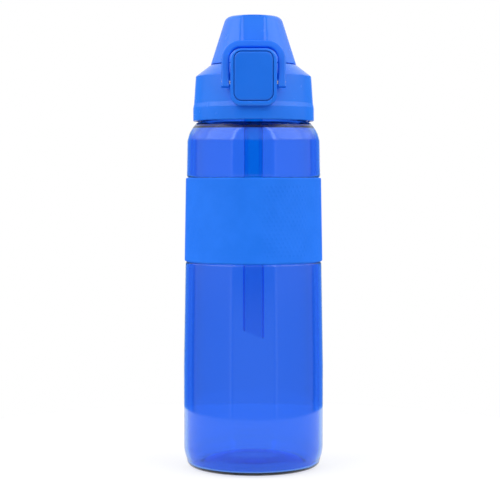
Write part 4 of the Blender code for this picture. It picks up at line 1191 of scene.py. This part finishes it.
def make_world():
    """White behind the bottle for the eye; for light, a studio that changes round the horizon."""
    world = bpy.data.worlds.new("studio")
    world.use_nodes = True
    tree = world.node_tree
    tree.nodes.clear()
    place = tree.nodes.new("ShaderNodeTexCoord")
    parts = tree.nodes.new("ShaderNodeSeparateXYZ")
    tree.links.new(place.outputs["Generated"], parts.inputs[0])
    forward = calculate(tree, "MULTIPLY", parts.outputs["Y"], -1)
    degrees = calculate(tree, "DEGREES", calculate(tree, "ARCTAN2", parts.outputs["X"], forward))
    rounds = [mirrored(light) for light in (LOW_LIGHT, LEVEL_LIGHT, HIGH_LIGHT)]
    low, level, high = [ramp(tree, degrees, -180, 180, stops) for stops in rounds]
    above_low = ramp(tree, parts.outputs["Z"], -1, 1, ABOVE_LOW)
    above_level = ramp(tree, parts.outputs["Z"], -1, 1, ABOVE_LEVEL)
    overhead = ramp(tree, parts.outputs["Z"], -1, 1, OVERHEAD)
    top = tree.nodes.new("ShaderNodeRGB")
    top.outputs[0].default_value = (OVERHEAD_LEVEL, OVERHEAD_LEVEL, OVERHEAD_LEVEL, 1)
    sides = mixed(tree, above_level, mixed(tree, above_low, low, level), high)
    sky = mixed(tree, overhead, sides, top.outputs[0])

    output = tree.nodes.new("ShaderNodeOutputWorld")
    seen = tree.nodes.new("ShaderNodeBackground")
    seen.inputs["Color"].default_value = (1, 1, 1, 1)
    light = tree.nodes.new("ShaderNodeBackground")
    tree.links.new(sky, light.inputs["Color"])
    path = tree.nodes.new("ShaderNodeLightPath")
    mix = tree.nodes.new("ShaderNodeMixShader")
    tree.links.new(path.outputs["Is Camera Ray"], mix.inputs["Fac"])
    tree.links.new(light.outputs[0], mix.inputs[1])
    tree.links.new(seen.outputs[0], mix.inputs[2])
    tree.links.new(mix.outputs[0], output.inputs["Surface"])
    bpy.context.scene.world = world


def area(name, place, power):
    data = bpy.data.lights.new(name, "AREA")
    data.shape = "RECTANGLE"
    data.size, data.size_y = LAMP_SIZE, LAMP_SIZE
    data.energy = power
    lamp = bpy.data.objects.new(name, data)
    lamp.location = place
    lamp.rotation_euler = (Vector(LAMP_AIM) - Vector(place)).to_track_quat("-Z", "Y").to_euler()
    bpy.context.scene.collection.objects.link(lamp)


def make_lights():
    area("left_box", (-0.85, -0.30, 0.85), 3)
    area("right_box", (0.85, -0.25, 0.85), 2.6)


def make_camera():
    data = bpy.data.cameras.new("camera")
    data.lens = 107
    data.sensor_width = 36
    camera = bpy.data.objects.new("camera", data)
    camera.location = (-0.0019, -0.81, 0.154)
    camera.rotation_euler = (math.radians(90 - 2.57), 0, 0)
    bpy.context.scene.collection.objects.link(camera)
    bpy.context.scene.camera = camera


make_bottle()
make_sleeve()
make_shell()
make_liner()
make_mouthpiece()
make_small_seals()
make_cap()
make_button()
make_slide()
make_bail()
make_pin("hinge_rod", "hinge_pin", "lid", PIN_R)
make_pin("bail_rod_left", "bail_pin_left", "bail", BAIL_PIN_R)
make_pin("bail_rod_right", "bail_pin_right", "bail", BAIL_PIN_R)
make_springs()
make_straw()
make_stage()
make_world()
make_lights()
make_camera()
bpy.context.scene.view_settings.view_transform = "Standard"
